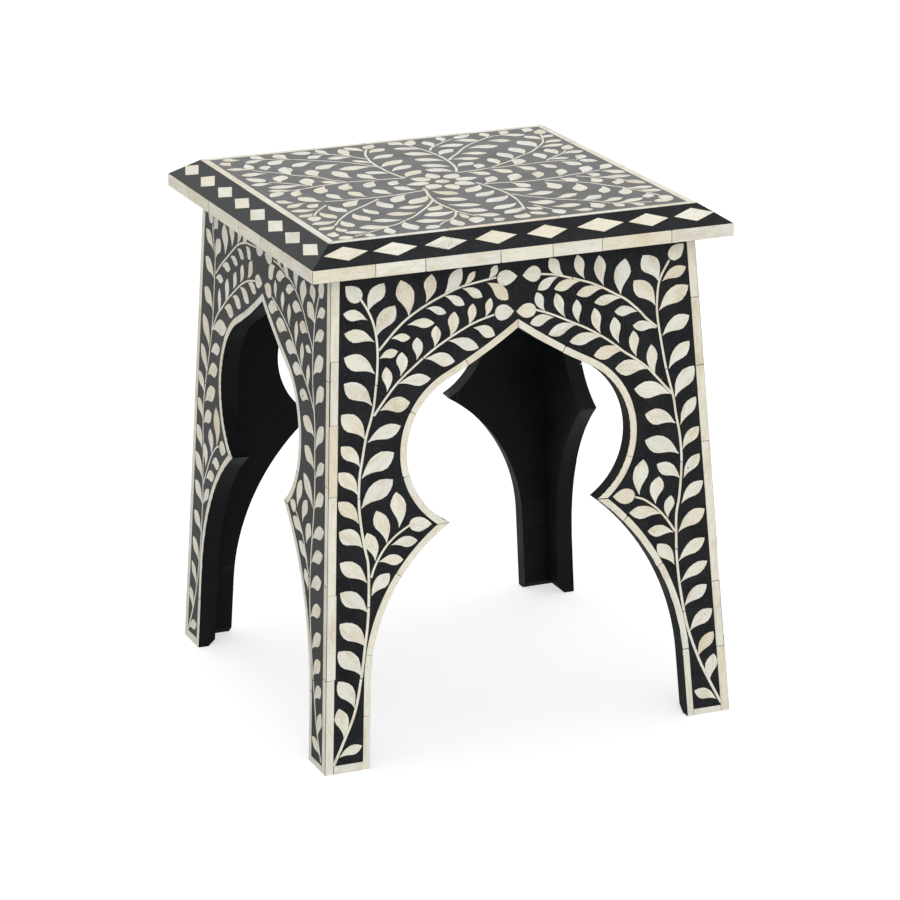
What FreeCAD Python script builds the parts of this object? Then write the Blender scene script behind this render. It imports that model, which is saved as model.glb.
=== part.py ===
import FreeCAD
import Part
import math
import os

# A low square stool with a bevelled top and four splayed side panels.
# Each side is cut with a cusped ogee arch and inlaid with bone in dark resin.
# Millimetres. X runs to the right, Y to the back, Z up from the floor under the centre.

# Overall sizes. The sides lean out from under the overhang until their feet stand below the board's edge.
stool_height = 457.0
top_width = 380.0
top_overhang = 25.0

# Top board
rim_height = 11.0
bevel_rise = 15.4
bevel_run = 23.5

# Layers, from the outside in
bone_thickness = 2.0
leaf_thickness = 0.5
panel_thickness = 14.0

# Arch, measured on the sloping face of a side: the wood above its point, its widest part and its straight legs
arch_crown = 63.9
arch_width = 205.4
left_leg_straight_height = 78.0
right_leg_straight_height = 57.0
foot_chamfer = 6.0

# Bone strips. The bow is how far a straight outer edge of the edging may lie from the true curve.
edging_width = 6.0
edging_bow = 0.4
corner_strip_width = 8.0
foot_strip_height = 6.5
border_strip_width = 6.5

# Stems and leaves
side_stem_width = 2.4
top_stem_width = 2.2
leaf_gap = 0.3
rosette_petal_gap = 1.6

# Bevel diamonds
diamond_length = 38.0
diamond_width = 15.5
diamond_count = 8

# Hidden frame under the top board
cleat_width = 20.0
cleat_height = 24.0
block_leg = 38.0
block_height = 60.0

overrun = 20.0

# Arch outline of each half, cut by hand and so not quite alike: its cusp, its widest place and its shoulder,
# as shares of the width and the height of the whole arch
left_arch_shares = ((0.331, 0.562), (0.508, 0.724), (0.311, 0.902))
right_arch_shares = ((0.332, 0.568), (0.492, 0.724), (0.313, 0.892))

# Width of a leg, as a share of the top's width
leg_width_share = 0.1066

# Joints between bone pieces, as shares of a run
rim_joint_shares = (0.145, 0.44, 0.68, 0.85)
left_strip_joint_shares = (0.19, 0.56, 0.83)
right_strip_joint_shares = (0.28, 0.57, 0.87)
border_joint_shares = (0.3, 0.7)

# Turns about the centres of the lobe and of the leg's curve, between which the pieces of the edging lie
lobe_joint_degrees = (-90, -13, 45, 150)
leg_joint_degrees = (-60, 12, 30, 90)

# Vines of a side, as shares of the half width of the face and of its height
side_stem_shares = ((0.96, 0.02), (0.84, 0.16), (0.79, 0.33), (0.835, 0.52),
                    (0.81, 0.67), (0.757, 0.82), (0.79, 0.91), (0.84, 0.945))
cusp_branch_shares = ((0.785, 0.385), (0.7, 0.45), (0.575, 0.487))
lower_branch_shares = ((0.79, 0.7), (0.6, 0.79), (0.36, 0.855), (0.12, 0.884))
upper_branch_shares = ((0.755, 0.83), (0.6, 0.89), (0.36, 0.937), (0.11, 0.955))

# Leaf rows: first and last place along the vine, count, side, length share, first and last lean in degrees.
# A length share is a share of the half width of the face or field that carries the row.
# Side 1 is on the right of the way that the vine grows. A leaf that doesn't fit whole is shortened.
side_stem_row_shares = ((0.05, 0.94, 14, 1, 0.155, 35, 60), (0.34, 0.34, 1, -1, 0.13, 42, 42),
                        (0.52, 0.65, 3, -1, 0.18, 52, 58), (0.88, 0.93, 2, -1, 0.15, 36, 44))
cusp_row_shares = ((0.25, 0.65, 2, 1, 0.15, 62, 66), (0.3, 0.3, 1, -1, 0.13, 46, 46))
lower_row_shares = ((0.18, 0.9, 5, 1, 0.115, 44, 52), (0.08, 0.82, 4, -1, 0.15, 38, 44))
upper_row_shares = ((0.35, 0.65, 2, 1, 0.15, 56, 42), (0.15, 0.88, 4, -1, 0.12, 38, 48))
side_vines = ((side_stem_shares, side_stem_row_shares, 0.1), (cusp_branch_shares, cusp_row_shares, 0.11),
              (lower_branch_shares, lower_row_shares, 0.105), (upper_branch_shares, upper_row_shares, 0.1))

# Vines of one eighth of the top, as shares of the half width of its field
top_stem_shares = ((0.15, 0.165), (0.205, 0.42), (0.2, 0.67), (0.14, 0.85))
long_branch_shares = ((0.215, 0.44), (0.44, 0.71), (0.66, 0.875))
short_branch_shares = ((0.195, 0.71), (0.28, 0.825), (0.39, 0.925))
top_stem_row_shares = ((0.06, 0.86, 5, -1, 0.17, 56, 56), (0.16, 0.16, 1, 1, 0.15, 52, 52))
long_row_shares = ((0.2, 0.75, 3, 1, 0.16, 42, 46), (0.55, 0.55, 1, -1, 0.13, 44, 44))
short_row_shares = ((0.35, 0.35, 1, 1, 0.13, 44, 44),)
top_vines = ((top_stem_shares, top_stem_row_shares, 0.09), (long_branch_shares, long_row_shares, 0.1),
             (short_branch_shares, short_row_shares, 0.09))
leaf_belly_share = 0.56
leaf_half_width_share = 0.25
leaf_shortening_shares = (1.0, 0.85, 0.7, 0.55)
leaf_outside_share = 0.001

# Rosette, as shares of the half width of the top field
petal_count = 8
rosette_centre_sides = 6
rosette_centre_share = 0.045
rosette_reach_share = 0.205
rosette_petal_half_width_share = 0.042

# Worked out from the sizes above
foot_half = top_width / 2
body_top_half = foot_half - top_overhang
leg_width = leg_width_share * top_width
underside = stool_height - bevel_rise - rim_height
bevel_foot = underside + rim_height
bevel_width = math.hypot(bevel_rise, bevel_run)
bevel_slope = math.degrees(math.atan2(bevel_rise, bevel_run))
flat_half = top_width / 2 - bevel_run
field_half = flat_half - border_strip_width
face_height = math.hypot(underside, top_overhang)
arch_height = face_height - arch_crown
left_half = (left_leg_straight_height, left_arch_shares)
right_half = (right_leg_straight_height, right_arch_shares)
splay = math.degrees(math.atan2(top_overhang, underside))
shell_thickness = bone_thickness + panel_thickness
shell_run = shell_thickness / math.cos(math.radians(splay))
side_names = ("front", "right", "back", "left")
corner_names = ("front_left", "front_right", "back_right", "back_left")


def vector(x, y, z=0.0):
    return FreeCAD.Vector(x, y, z)


def polygon(points):
    """Flat face through the given corners."""
    return Part.Face(Part.makePolygon(list(points) + [points[0]]))


def raise_face(face, low, high):
    """Solid of a flat face that lies in XY, from one height to another."""
    solid = face.extrude(vector(0, 0, high - low))
    solid.translate(vector(0, 0, low))
    return solid


def tapered_block(low_half, high_half, low, high):
    """Square block whose half width changes from its foot to its top, centred on the Z axis."""
    corners = [FreeCAD.Vector(-low_half, 0, low), FreeCAD.Vector(low_half, 0, low),
               FreeCAD.Vector(high_half, 0, high), FreeCAD.Vector(-high_half, 0, high)]
    reach = max(low_half, high_half) + overrun
    one_way = polygon(corners).extrude(vector(0, 2 * reach))
    one_way.translate(vector(0, -reach))
    other_way = one_way.copy()
    other_way.rotate(vector(0, 0), vector(0, 0, 1), 90)
    return one_way.common(other_way)


def quarter(low, high):
    """Front quarter of the stool between two heights, bounded by the upright mitre planes."""
    reach = max(foot_half, top_width / 2) + overrun
    return raise_face(polygon([vector(0, 0), vector(-reach, -reach), vector(reach, -reach)]), low, high)


def stand_up(shape):
    """Moves a shape from the flat drawing of a side to the sloping front face."""
    placed = shape.copy()
    placed.rotate(vector(0, 0), vector(1, 0), 90 - splay)
    placed.translate(vector(0, -foot_half))
    return placed


def edge_at(height):
    """Half width of a side's face at a height up the slope."""
    return foot_half - top_overhang * height / face_height


def mirrored(shape):
    """Copy on the other side of the middle of a face."""
    return shape.mirror(vector(0, 0), vector(1, 0))


def tangent_arc(start, direction, end):
    """Arc that leaves the start along a direction and ends at a point."""
    chord = end - start
    heading = direction.normalize()
    turn = math.atan2(heading.x * chord.y - heading.y * chord.x, heading.dot(chord))
    bow = chord.Length / 2 * math.tan(turn / 2)
    across = vector(chord.y, -chord.x).normalize()
    return Part.Arc(start, (start + end) / 2 + across * bow, end)


def arch_half(straight_height, outline_shares):
    """Edges of one half of the arch, drawn on the right, from below the floor up to its point."""
    foot = vector(edge_at(-overrun) - leg_width, -overrun)
    straight_top = vector(edge_at(straight_height) - leg_width, straight_height)
    cusp, widest, shoulder = [vector(across * arch_width, up * arch_height) for across, up in outline_shares]
    lobe = Part.Arc(cusp, widest, shoulder).toShape()
    radius = shoulder - lobe.Curve.Center
    ogee = tangent_arc(shoulder, vector(-radius.y, radius.x), vector(0, arch_height)).toShape()
    leg = tangent_arc(straight_top, straight_top - foot, cusp).toShape()
    return [Part.LineSegment(foot, straight_top).toShape(), leg, lobe, ogee]


def arch_face():
    """Flat face of the arch's opening, run past the floor."""
    right = arch_half(*right_half)
    left = [mirrored(edge) for edge in arch_half(*left_half)]
    foot = right[0].Vertexes[0].Point
    sill = Part.LineSegment(vector(-foot.x, foot.y), foot).toShape()
    wire = Part.Wire(Part.__sortEdges__(right + left + [sill]))
    return Part.Face(wire)


def side_slab(face, outer_depth, inner_depth):
    """Part of one side between two depths below its face, cut at the mitres, the floor and the board."""
    return stand_up(raise_face(face, -inner_depth, -outer_depth)).common(quarter(0, underside))


def big_face():
    """Flat face larger than a side all round."""
    reach = foot_half + overrun
    return polygon([vector(-reach, -overrun), vector(reach, -overrun),
                    vector(reach, face_height + overrun), vector(-reach, face_height + overrun)])


def edging_face(arch):
    """Flat face of the arch and its edging, whose outer edge is straight from corner to corner."""
    grown = arch.makeOffset2D(edging_width, join=2, intersection=True)
    points = []
    for edge in grown.OuterWire.OrderedEdges:
        count = 1
        if isinstance(edge.Curve, Part.Circle):
            radius = edge.Curve.Radius
            count = math.ceil(edge.Length / radius / math.acos(1 - edging_bow / radius) / 2)
        run = edge.discretize(count + 1)
        if edge.Orientation == "Reversed":
            run.reverse()
        points += run[:-1]
    return polygon(points)


def field_face(grown_arch, top):
    """Flat face of the resin field up to a height, inside the corner, foot and arch strips."""
    low, high = edge_at(foot_strip_height) - corner_strip_width, edge_at(top) - corner_strip_width
    field = polygon([vector(-low, foot_strip_height), vector(low, foot_strip_height),
                     vector(high, top), vector(-high, top)])
    return field.cut(grown_arch)


def side_panel(arch):
    """Wooden side with its arch and a chamfered inner edge under each foot."""
    panel = side_slab(big_face().cut(arch), bone_thickness, shell_thickness)
    inner_y = shell_run - foot_half
    inner_edges = []
    for edge in panel.Edges:
        if max(abs(vertex.Z) + abs(vertex.Y - inner_y) for vertex in edge.Vertexes) < leaf_thickness:
            inner_edges.append(edge)
    return panel.makeChamfer(min(foot_chamfer, panel_thickness / 2), inner_edges)


def strip_run(low, high, joint_shares, side):
    """Corner strip up one edge of a face, in butted pieces."""
    places = [low] + [low + (high - low) * share for share in joint_shares] + [high]
    pieces = []
    for start, end in zip(places, places[1:]):
        inner_start, inner_end = edge_at(start) - corner_strip_width, edge_at(end) - corner_strip_width
        corners = [vector(side * inner_start, start), vector(side * (inner_start + overrun), start),
                   vector(side * (inner_end + overrun), end), vector(side * inner_end, end)]
        pieces.append(side_slab(polygon(corners), 0, bone_thickness))
    return pieces


def corner_strips():
    """Bone strips up both edges of a face."""
    top = face_height + overrun
    return Part.makeCompound(strip_run(-overrun, top, left_strip_joint_shares, -1)
                             + strip_run(-overrun, top, right_strip_joint_shares, 1))


def foot_strips(grown_arch):
    """Short strip across each foot, between the corner strip and the arch edging."""
    pieces = []
    for side in (-1, 1):
        low, high = edge_at(-overrun) - corner_strip_width, edge_at(foot_strip_height) - corner_strip_width
        corners = [vector(0, -overrun), vector(side * low, -overrun),
                   vector(side * high, foot_strip_height), vector(0, foot_strip_height)]
        pieces += side_slab(polygon(corners).cut(grown_arch), 0, bone_thickness).Solids
    return Part.makeCompound(pieces)


def sector(centre, start, end):
    """Wide flat wedge between two headings from a centre."""
    reach = top_width + face_height
    corners = [centre]
    for degrees in (start, (start + end) / 2, end):
        turn = math.radians(degrees)
        corners.append(centre + vector(math.cos(turn), math.sin(turn)) * reach)
    return polygon(corners)


def edging_half(band, straight_height, outline_shares):
    """Bone strip round one half of the arch, drawn on the right, in pieces butted at its cusp and between."""
    reach, top = foot_half + overrun, face_height
    cusp_height = outline_shares[0][1] * arch_height
    right, above = [polygon([vector(0, low), vector(reach, low), vector(reach, top), vector(0, top)])
                    for low in (-overrun, cusp_height)]
    right_band = band.common(right)
    leg_centre, lobe_centre = [edge.Curve.Center for edge in arch_half(straight_height, outline_shares)[1:3]]
    cells = []
    for start, end in zip(lobe_joint_degrees, lobe_joint_degrees[1:]):
        cells.append(right_band.common(above).common(sector(lobe_centre, start, end)))
    for start, end in zip(leg_joint_degrees, leg_joint_degrees[1:]):
        cells.append(right_band.cut(above).common(sector(leg_centre, start, end)))
    pieces = []
    for cell in cells:
        for face in cell.Faces:
            pieces += side_slab(face, 0, bone_thickness).Solids
    return pieces


def arch_edging(arch, grown_arch):
    """Bone strip round the arch, in pieces butted at the point, the cusps and between them."""
    band = grown_arch.cut(arch)
    left = [mirrored(piece) for piece in edging_half(mirrored(band), *left_half)]
    return Part.makeCompound(left + edging_half(band, *right_half))


def ribbon(points, width):
    """Flat strip of even width along the points of a vine, with mitred bends."""
    curve = Part.BSplineCurve()
    curve.interpolate(points)
    sides = ([], [])
    for point in points:
        along = curve.tangent(curve.parameter(point))[0]
        across = vector(-along.y, along.x) * width / 2
        sides[0].append(point + across)
        sides[1].append(point - across)
    return polygon(sides[0] + sides[1][::-1])


def leaf(base, heading, length):
    """Four-cornered leaf with its belly beyond the middle."""
    along = vector(math.cos(heading), math.sin(heading)) * length
    across = vector(-along.y, along.x) * leaf_half_width_share
    belly = base + along * leaf_belly_share
    return polygon([base, belly - across, base + along, belly + across])


def place_on(points, part):
    """Point at a part of the way along a vine, and the vine's direction there."""
    left = part * Part.makePolygon(points).Length
    for start, end in zip(points, points[1:]):
        along = end - start
        length = along.Length
        if left <= length:
            break
        left -= length
    along.normalize()
    return start + along * min(left, length), along


def leaf_places(points, rows, tip_share, unit, stem_width):
    """Base, heading and length of each leaf of one vine: its rows on both sides and the leaf at its tip."""
    stand_off = stem_width / 2 + leaf_gap
    places = []
    for row_first, row_last, count, side, length_share, first_lean, last_lean in rows:
        for step in range(count):
            part = step / max(count - 1, 1)
            point, along = place_on(points, row_first + (row_last - row_first) * part)
            lean = math.radians(first_lean + (last_lean - first_lean) * part)
            heading = math.atan2(along.y, along.x) - side * lean
            base = point + vector(along.y, -along.x) * side * stand_off
            places.append((base, heading, length_share * unit))
    end, along = points[-1], (points[-1] - points[-2]).normalize()
    places.append((end + along * leaf_gap, math.atan2(along.y, along.x), tip_share * unit))
    return places


def laid_stems(faces, field):
    """Stems trimmed to their field and to the stems that they branch from."""
    stems = []
    for face in faces:
        trimmed = face.common(field)
        if stems:
            trimmed = trimmed.cut(stems)
        stems.append(max(trimmed.Faces, key=lambda piece: piece.Area))
    return stems


def laid_leaves(places, field, laid):
    """Whole leaves that lie in the field, clear of each other and of what is laid already."""
    leaves = []
    for base, heading, length in places:
        for shortening_share in leaf_shortening_shares:
            face = leaf(base, heading, length * shortening_share)
            inside = face.cut(field).Area < face.Area * leaf_outside_share
            if inside and all(face.distToShape(other)[0] > 0 for other in laid + leaves):
                leaves.append(face)
                break
    return leaves


def laid_inlay(vines, unit, stem_width, field, laid):
    """Thin stems and leaves of some vines, laid on the resin of a field."""
    stems = laid_stems([ribbon(points, stem_width) for points, row_shares, tip_share in vines], field)
    places = []
    for points, row_shares, tip_share in vines:
        places += leaf_places(points, row_shares, tip_share, unit, stem_width)
    leaves = laid_leaves(places, field, laid + stems)
    return [[raise_face(face, -leaf_thickness, 0) for face in faces] for faces in (stems, leaves)]


def side_inlay(field):
    """Stems and leaves of one side, drawn for its right half and mirrored, clear of the arch on both halves."""
    vines = []
    for vine_shares, row_shares, tip_share in side_vines:
        points = [vector(across * edge_at(up * face_height), up * face_height) for across, up in vine_shares]
        vines.append((points, row_shares, tip_share))
    both_halves = field.common(mirrored(field))
    groups = laid_inlay(vines, foot_half, side_stem_width, both_halves, [])
    return [stand_up(Part.makeCompound(right + [mirrored(piece) for piece in right])) for right in groups]


def top_board():
    """Wooden board under the inlay, with its bevel."""
    core_half = top_width / 2 - bone_thickness
    drop = bone_thickness * bevel_width / bevel_run
    at_edge = bevel_foot - drop + bone_thickness * bevel_rise / bevel_run
    core_flat_half = flat_half - (drop - bone_thickness) * bevel_run / bevel_rise
    straight = tapered_block(core_half, core_half, underside, at_edge)
    sloped = tapered_block(core_half, core_flat_half, at_edge, stool_height - bone_thickness)
    return straight.fuse(sloped).removeSplitter()


def skin_around(core):
    """Inlay layer over the board's edges, bevels and flat."""
    whole = tapered_block(top_width / 2, top_width / 2, underside, bevel_foot)
    bevels = tapered_block(top_width / 2, flat_half, bevel_foot, stool_height)
    return whole.cut(core), bevels.cut(core)


def rim_slabs(edge_skin):
    """Bone slabs on one edge of the board, butted along its length."""
    side = edge_skin.common(quarter(underside, bevel_foot))
    return Part.makeCompound(butted(side, top_width, rim_joint_shares))


def butted(run, length, joint_shares):
    """Pieces of a run along the front edge, cut square across at its joints."""
    places = [-overrun] + [length * share for share in joint_shares] + [length + overrun]
    pieces = []
    for start, end in zip(places, places[1:]):
        corner = vector(start - length / 2, -top_width, underside - overrun)
        cell = Part.makeBox(end - start, top_width, stool_height - underside + 2 * overrun, corner)
        pieces += run.common(cell).Solids
    return pieces


def on_bevel(shape):
    """Moves a shape from the flat drawing of a bevel to the front bevel."""
    placed = shape.copy()
    placed.rotate(vector(0, 0), vector(1, 0), bevel_slope)
    placed.translate(vector(0, -top_width / 2, bevel_foot))
    return placed


def bevel_diamonds():
    """Bone diamonds in a row along one bevel."""
    middle = bevel_width / 2
    pitch = (top_width - bevel_run) / diamond_count
    half_length, half_width = diamond_length / 2, diamond_width / 2
    diamonds = []
    for index in range(diamond_count):
        x = (index - (diamond_count - 1) / 2) * pitch
        face = polygon([vector(x - half_length, middle), vector(x, middle - half_width),
                        vector(x + half_length, middle), vector(x, middle + half_width)])
        diamonds.append(on_bevel(raise_face(face, -leaf_thickness, 0)))
    return Part.makeCompound(diamonds)


def bevel_ground(bevel_skin):
    """Resin on one bevel, cut away to the depth that its diamonds lie in."""
    reach, top = top_width, bevel_width + overrun
    cleared = polygon([vector(-reach, -overrun), vector(reach, -overrun),
                       vector(reach, top), vector(-reach, top)])
    clearing = raise_face(cleared, -leaf_thickness, overrun)
    outside_flat = quarter(bevel_foot - bone_thickness, stool_height).cut(
        tapered_block(flat_half, flat_half, bevel_foot - overrun, stool_height + overrun))
    return bevel_skin.common(outside_flat).cut(on_bevel(clearing))


def top_ground():
    """Resin of the top field."""
    return tapered_block(field_half, field_half, stool_height - bone_thickness, stool_height - leaf_thickness)


def top_border(bevel_skin):
    """Bone strips round the top field, mitred at the corners and butted along each side."""
    flat = bevel_skin.common(tapered_block(flat_half, flat_half, stool_height - bone_thickness, stool_height))
    ring = flat.cut(tapered_block(field_half, field_half, bevel_foot, stool_height + overrun))
    front = ring.common(quarter(bevel_foot, stool_height + overrun))
    return on_all_sides(butted(front, 2 * flat_half, border_joint_shares))


def on_all_sides(pieces):
    """Group of the given front pieces and their copies on the other three sides."""
    copies = []
    for quarters in range(len(side_names)):
        copies += [turned(piece, quarters) for piece in pieces]
    return Part.makeCompound(copies)


def top_inlay():
    """Stems, leaves and rosette of the top, drawn for one eighth and mirrored round the centre."""
    eighth = polygon([vector(0, 0), vector(field_half, field_half), vector(0, field_half)])
    vines = []
    for vine_shares, row_shares, tip_share in top_vines:
        points = [vector(across * field_half, up * field_half) for across, up in vine_shares]
        vines.append((points, row_shares, tip_share))
    petals = rosette_faces()
    result = []
    for pieces in laid_inlay(vines, field_half, top_stem_width, eighth, petals):
        pieces += [piece.mirror(vector(0, 0), vector(1, -1)) for piece in pieces]
        result.append(lift_to_top(on_all_sides(pieces)))
    rosette = [raise_face(face, -leaf_thickness, 0) for face in petals]
    return result + [lift_to_top(Part.makeCompound(rosette))]


def lift_to_top(shape):
    """Moves a shape from the flat drawing of the top to the top's surface."""
    placed = shape.copy()
    placed.translate(vector(0, 0, stool_height))
    return placed


def rosette_faces():
    """Flat faces of a many-sided centre and the petals about it."""
    centre = rosette_centre_share * field_half
    corners = []
    for step in range(rosette_centre_sides):
        turn = math.tau * step / rosette_centre_sides
        corners.append(vector(math.cos(turn), math.sin(turn)) * centre)
    faces = [polygon(corners)]
    start = centre + rosette_petal_gap
    reach = rosette_reach_share * field_half
    half_width = rosette_petal_half_width_share * field_half
    for step in range(petal_count):
        turn = math.tau * step / petal_count
        along = vector(math.cos(turn), math.sin(turn))
        across = vector(-along.y, along.x) * half_width
        belly = along * (start + reach) / 2
        faces.append(polygon([along * start, belly - across, along * reach, belly + across]))
    return faces


def cleat():
    """Batten glued in the angle between one side and the board."""
    inner_half = body_top_half - shell_run
    reach = inner_half - block_leg
    face = polygon([vector(-reach, face_height - cleat_height), vector(reach, face_height - cleat_height),
                    vector(reach, face_height + overrun), vector(-reach, face_height + overrun)])
    return side_slab(face, shell_thickness, shell_thickness + cleat_width)


def corner_block():
    """Three-sided block glued in the front left corner under the board."""
    low = underside - block_height
    inside_high = body_top_half - shell_run
    inside_low = inside_high + top_overhang * block_height / underside
    inside = tapered_block(inside_low, inside_high, low, underside)
    corner = polygon([vector(-inside_high - overrun, -inside_high - overrun),
                      vector(block_leg - inside_high, -inside_high - overrun),
                      vector(block_leg - inside_high, -inside_high),
                      vector(-inside_high, block_leg - inside_high),
                      vector(-inside_high - overrun, block_leg - inside_high)])
    return inside.common(raise_face(corner, low, underside))


def turned(shape, quarters):
    """Copy of a front piece turned to another side."""
    placed = shape.copy()
    placed.rotate(vector(0, 0), vector(0, 0, 1), 90 * quarters)
    return placed


def pieces_of_one_side(edge_skin, bevel_skin):
    """Every piece of the front side, by the start of its name."""
    arch = arch_face()
    grown_arch = edging_face(arch)
    field = field_face(grown_arch, face_height + overrun)
    stems, leaves = side_inlay(field_face(grown_arch, face_height - leaf_gap))
    return {
        "side_panel": side_panel(arch),
        "side_ground": side_slab(field, leaf_thickness, bone_thickness),
        "side_stems": stems,
        "side_leaves": leaves,
        "corner_strips": corner_strips(),
        "foot_strips": foot_strips(grown_arch),
        "arch_edging": arch_edging(arch, grown_arch),
        "rim_slabs": rim_slabs(edge_skin),
        "bevel_ground": bevel_ground(bevel_skin),
        "bevel_diamonds": bevel_diamonds(),
        "cleat": cleat(),
        "corner_block": corner_block(),
    }


def all_pieces():
    """Every node of the stool, by name."""
    board = top_board()
    edge_skin, bevel_skin = skin_around(board)
    stems, leaves, rosette_pieces = top_inlay()
    nodes = {
        "top_board": board,
        "top_ground": top_ground(),
        "top_border_strips": top_border(bevel_skin),
        "top_stems": stems,
        "top_leaves": leaves,
        "top_rosette": rosette_pieces,
    }
    for name, shape in pieces_of_one_side(edge_skin, bevel_skin).items():
        places = corner_names if name == "corner_block" else side_names
        for quarters, place in enumerate(places):
            nodes[name + "_" + place] = turned(shape, quarters)
    return nodes


os.makedirs("parts", exist_ok=True)
for node_name, node_shape in all_pieces().items():
    node_shape.exportStep(os.path.join("parts", node_name + ".step"))
    print(node_name, len(node_shape.Solids), node_shape.isValid(), round(node_shape.Volume))
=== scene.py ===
import math
import random

import bmesh
import bpy
from mathutils import Matrix, Vector


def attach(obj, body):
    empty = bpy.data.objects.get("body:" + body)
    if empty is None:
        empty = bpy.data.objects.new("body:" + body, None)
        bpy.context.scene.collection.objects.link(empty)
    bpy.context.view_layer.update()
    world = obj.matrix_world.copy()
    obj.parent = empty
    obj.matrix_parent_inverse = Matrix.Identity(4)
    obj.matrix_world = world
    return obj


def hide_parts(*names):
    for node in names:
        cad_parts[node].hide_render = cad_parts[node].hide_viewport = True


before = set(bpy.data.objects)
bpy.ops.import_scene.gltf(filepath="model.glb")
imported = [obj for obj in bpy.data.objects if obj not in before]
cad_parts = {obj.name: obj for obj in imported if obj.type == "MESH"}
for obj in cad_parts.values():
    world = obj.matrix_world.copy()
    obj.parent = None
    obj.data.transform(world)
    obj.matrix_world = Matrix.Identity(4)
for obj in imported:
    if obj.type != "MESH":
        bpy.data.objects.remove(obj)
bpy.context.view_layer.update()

# The finish of a low square stool: bone strips, stems and leaves set in black resin over painted wood.
# Each face is drawn flat in millimetres, X to the right and Y up or to the back, its outside at Z = 0,
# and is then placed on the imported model, whose units are metres.

MM = 0.001
STOOL_HEIGHT = 457.0
TOP_HALF = 190.0
TOP_OVERHANG = 25.0
RIM_HEIGHT = 11.0
BEVEL_RISE = 15.4
BEVEL_RUN = 23.5
BONE_THICKNESS = 2.0
LEAF_THICKNESS = 0.5
ARCH_CROWN = 63.9
ARCH_WIDTH = 205.4
LEG_WIDTH = 40.508
EDGING_WIDTH = 6.0
CORNER_STRIP_WIDTH = 8.0
BORDER_WIDTH = 6.5
GLUE_WIDTH = 0.3
GLUE_DEPTH = 0.05
RESIN_DEPTH = 0.07
JOINT_GAP = 0.12
WIDEST_GAP = 0.42
SEAM_GAP = 0.2
WIDEST_SEAM = 0.8
ROUNDING = 0.16
BEVEL_ROUNDING = 0.3
SHARP_EDGE = 0.5
ARC_STEP = 2
OVERRUN = 5.0
CORNER_OVERRUN = 6.0
FOOT_OVERRUN = 10.0
FIELD_FOOT = 6.0
FOOT_STRIP_HEIGHTS = (7.5, 5.5)
SIDE_STEM_WIDTH = 2.4
TOP_STEM_WIDTH = 2.7
STEM_TAPER = 0.22
DIAMOND_HALF = 19.3
DIAMOND_TALL = 8.0
ROSETTE_RADIUS = 7.4
ROSETTE_TURN = 8
COPY_JITTER = 0.7

# Ranges and chances of what hand work leaves uneven: millimetres, degrees for a petal's turn, shares for
# a leaf, radians for a diamond's heading, and tones from tan at 0 to white at 1.
STEM_LENGTH = (55, 95)
STEM_SLIP = (-0.12, 0.12)
STEM_SINK = (0.0, 0.004)
LEAF_SINK = (0.007, 0.018)
STRIP_SINK = (0.0, 0.05)
EDGING_SLIP = (-0.2, 0.2)
EDGING_CHIP = (0.3, 1.1)
STRIP_CHIP = (0.25, 0.9)
EDGING_CHIP_CHANCE = 0.45
STRIP_CHIP_CHANCE = 0.2
STRIP_SPREAD = (-0.35, 0.1)
STRIP_TILT = (-0.2, 0.2)
SLAB_TILT = (-0.25, 0.25)
SLAB_DROP = (-0.25, 0.1)
LEAF_WOBBLE = (-0.03, 0.03)
LEAF_BREADTH = (0.97, 1.04)
PETAL_TURN = (-2, 2)
DIAMOND_RISE = (0.4, 1.4)
DIAMOND_SPREAD = (-0.3, 0.3)
DIAMOND_TALL_SPREAD = (-0.35, 0.35)
DIAMOND_SKEW = (-1.0, 1.0)
DIAMOND_SLANT = (-0.5, 0.5)
DIAMOND_HEADING = (-0.1, 0.1)
TAN_CHANCE = 0.08
TAN_TONE = (0.12, 0.35)
CREAM_TONE = (0.4, 1.0)
STEM_TONE = (0.35, 1.0)
PITTING = (-0.8, 0.6)

# Finishes of the faces of a bone piece, where bone itself is 0.
GLUED = 1
PAINTED = 2

UNDERSIDE = STOOL_HEIGHT - BEVEL_RISE - RIM_HEIGHT
BEVEL_FOOT = UNDERSIDE + RIM_HEIGHT
FACE_HEIGHT = math.hypot(UNDERSIDE, TOP_OVERHANG)
SPLAY = math.atan2(TOP_OVERHANG, UNDERSIDE)
BEVEL_WIDTH = math.hypot(BEVEL_RISE, BEVEL_RUN)
BEVEL_SLOPE = math.atan2(BEVEL_RISE, BEVEL_RUN)
FLAT_HALF = TOP_HALF - BEVEL_RUN
FIELD_HALF = FLAT_HALF - BORDER_WIDTH
ARCH_HEIGHT = FACE_HEIGHT - ARCH_CROWN
SIDES = ("front", "right", "back", "left")

# Places of the two rubbed cusps, in metres.
WORN_CUSPS = ((0.068, 0.170, 0.2062), (-0.068, -0.170, 0.2062))

SIDE_DRAWING = Matrix.Translation((0, -TOP_HALF, 0)) @ Matrix.Rotation(math.radians(90) - SPLAY, 4, "X")
BEVEL_DRAWING = Matrix.Translation((0, -TOP_HALF, BEVEL_FOOT)) @ Matrix.Rotation(BEVEL_SLOPE, 4, "X")
RIM_DRAWING = Matrix.Translation((0, -TOP_HALF, UNDERSIDE)) @ Matrix.Rotation(math.radians(90), 4, "X")
TOP_DRAWING = Matrix.Translation((0, 0, STOOL_HEIGHT))

draw = random.Random(11)


# Camera

CAMERA_PLACE = (-1.1932, -2.9998, 1.2300)
YAW_PITCH_ROLL = (-21.756, 17.531, -0.799)
LENS = 151.8
SENSOR_WIDTH = 36


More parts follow.
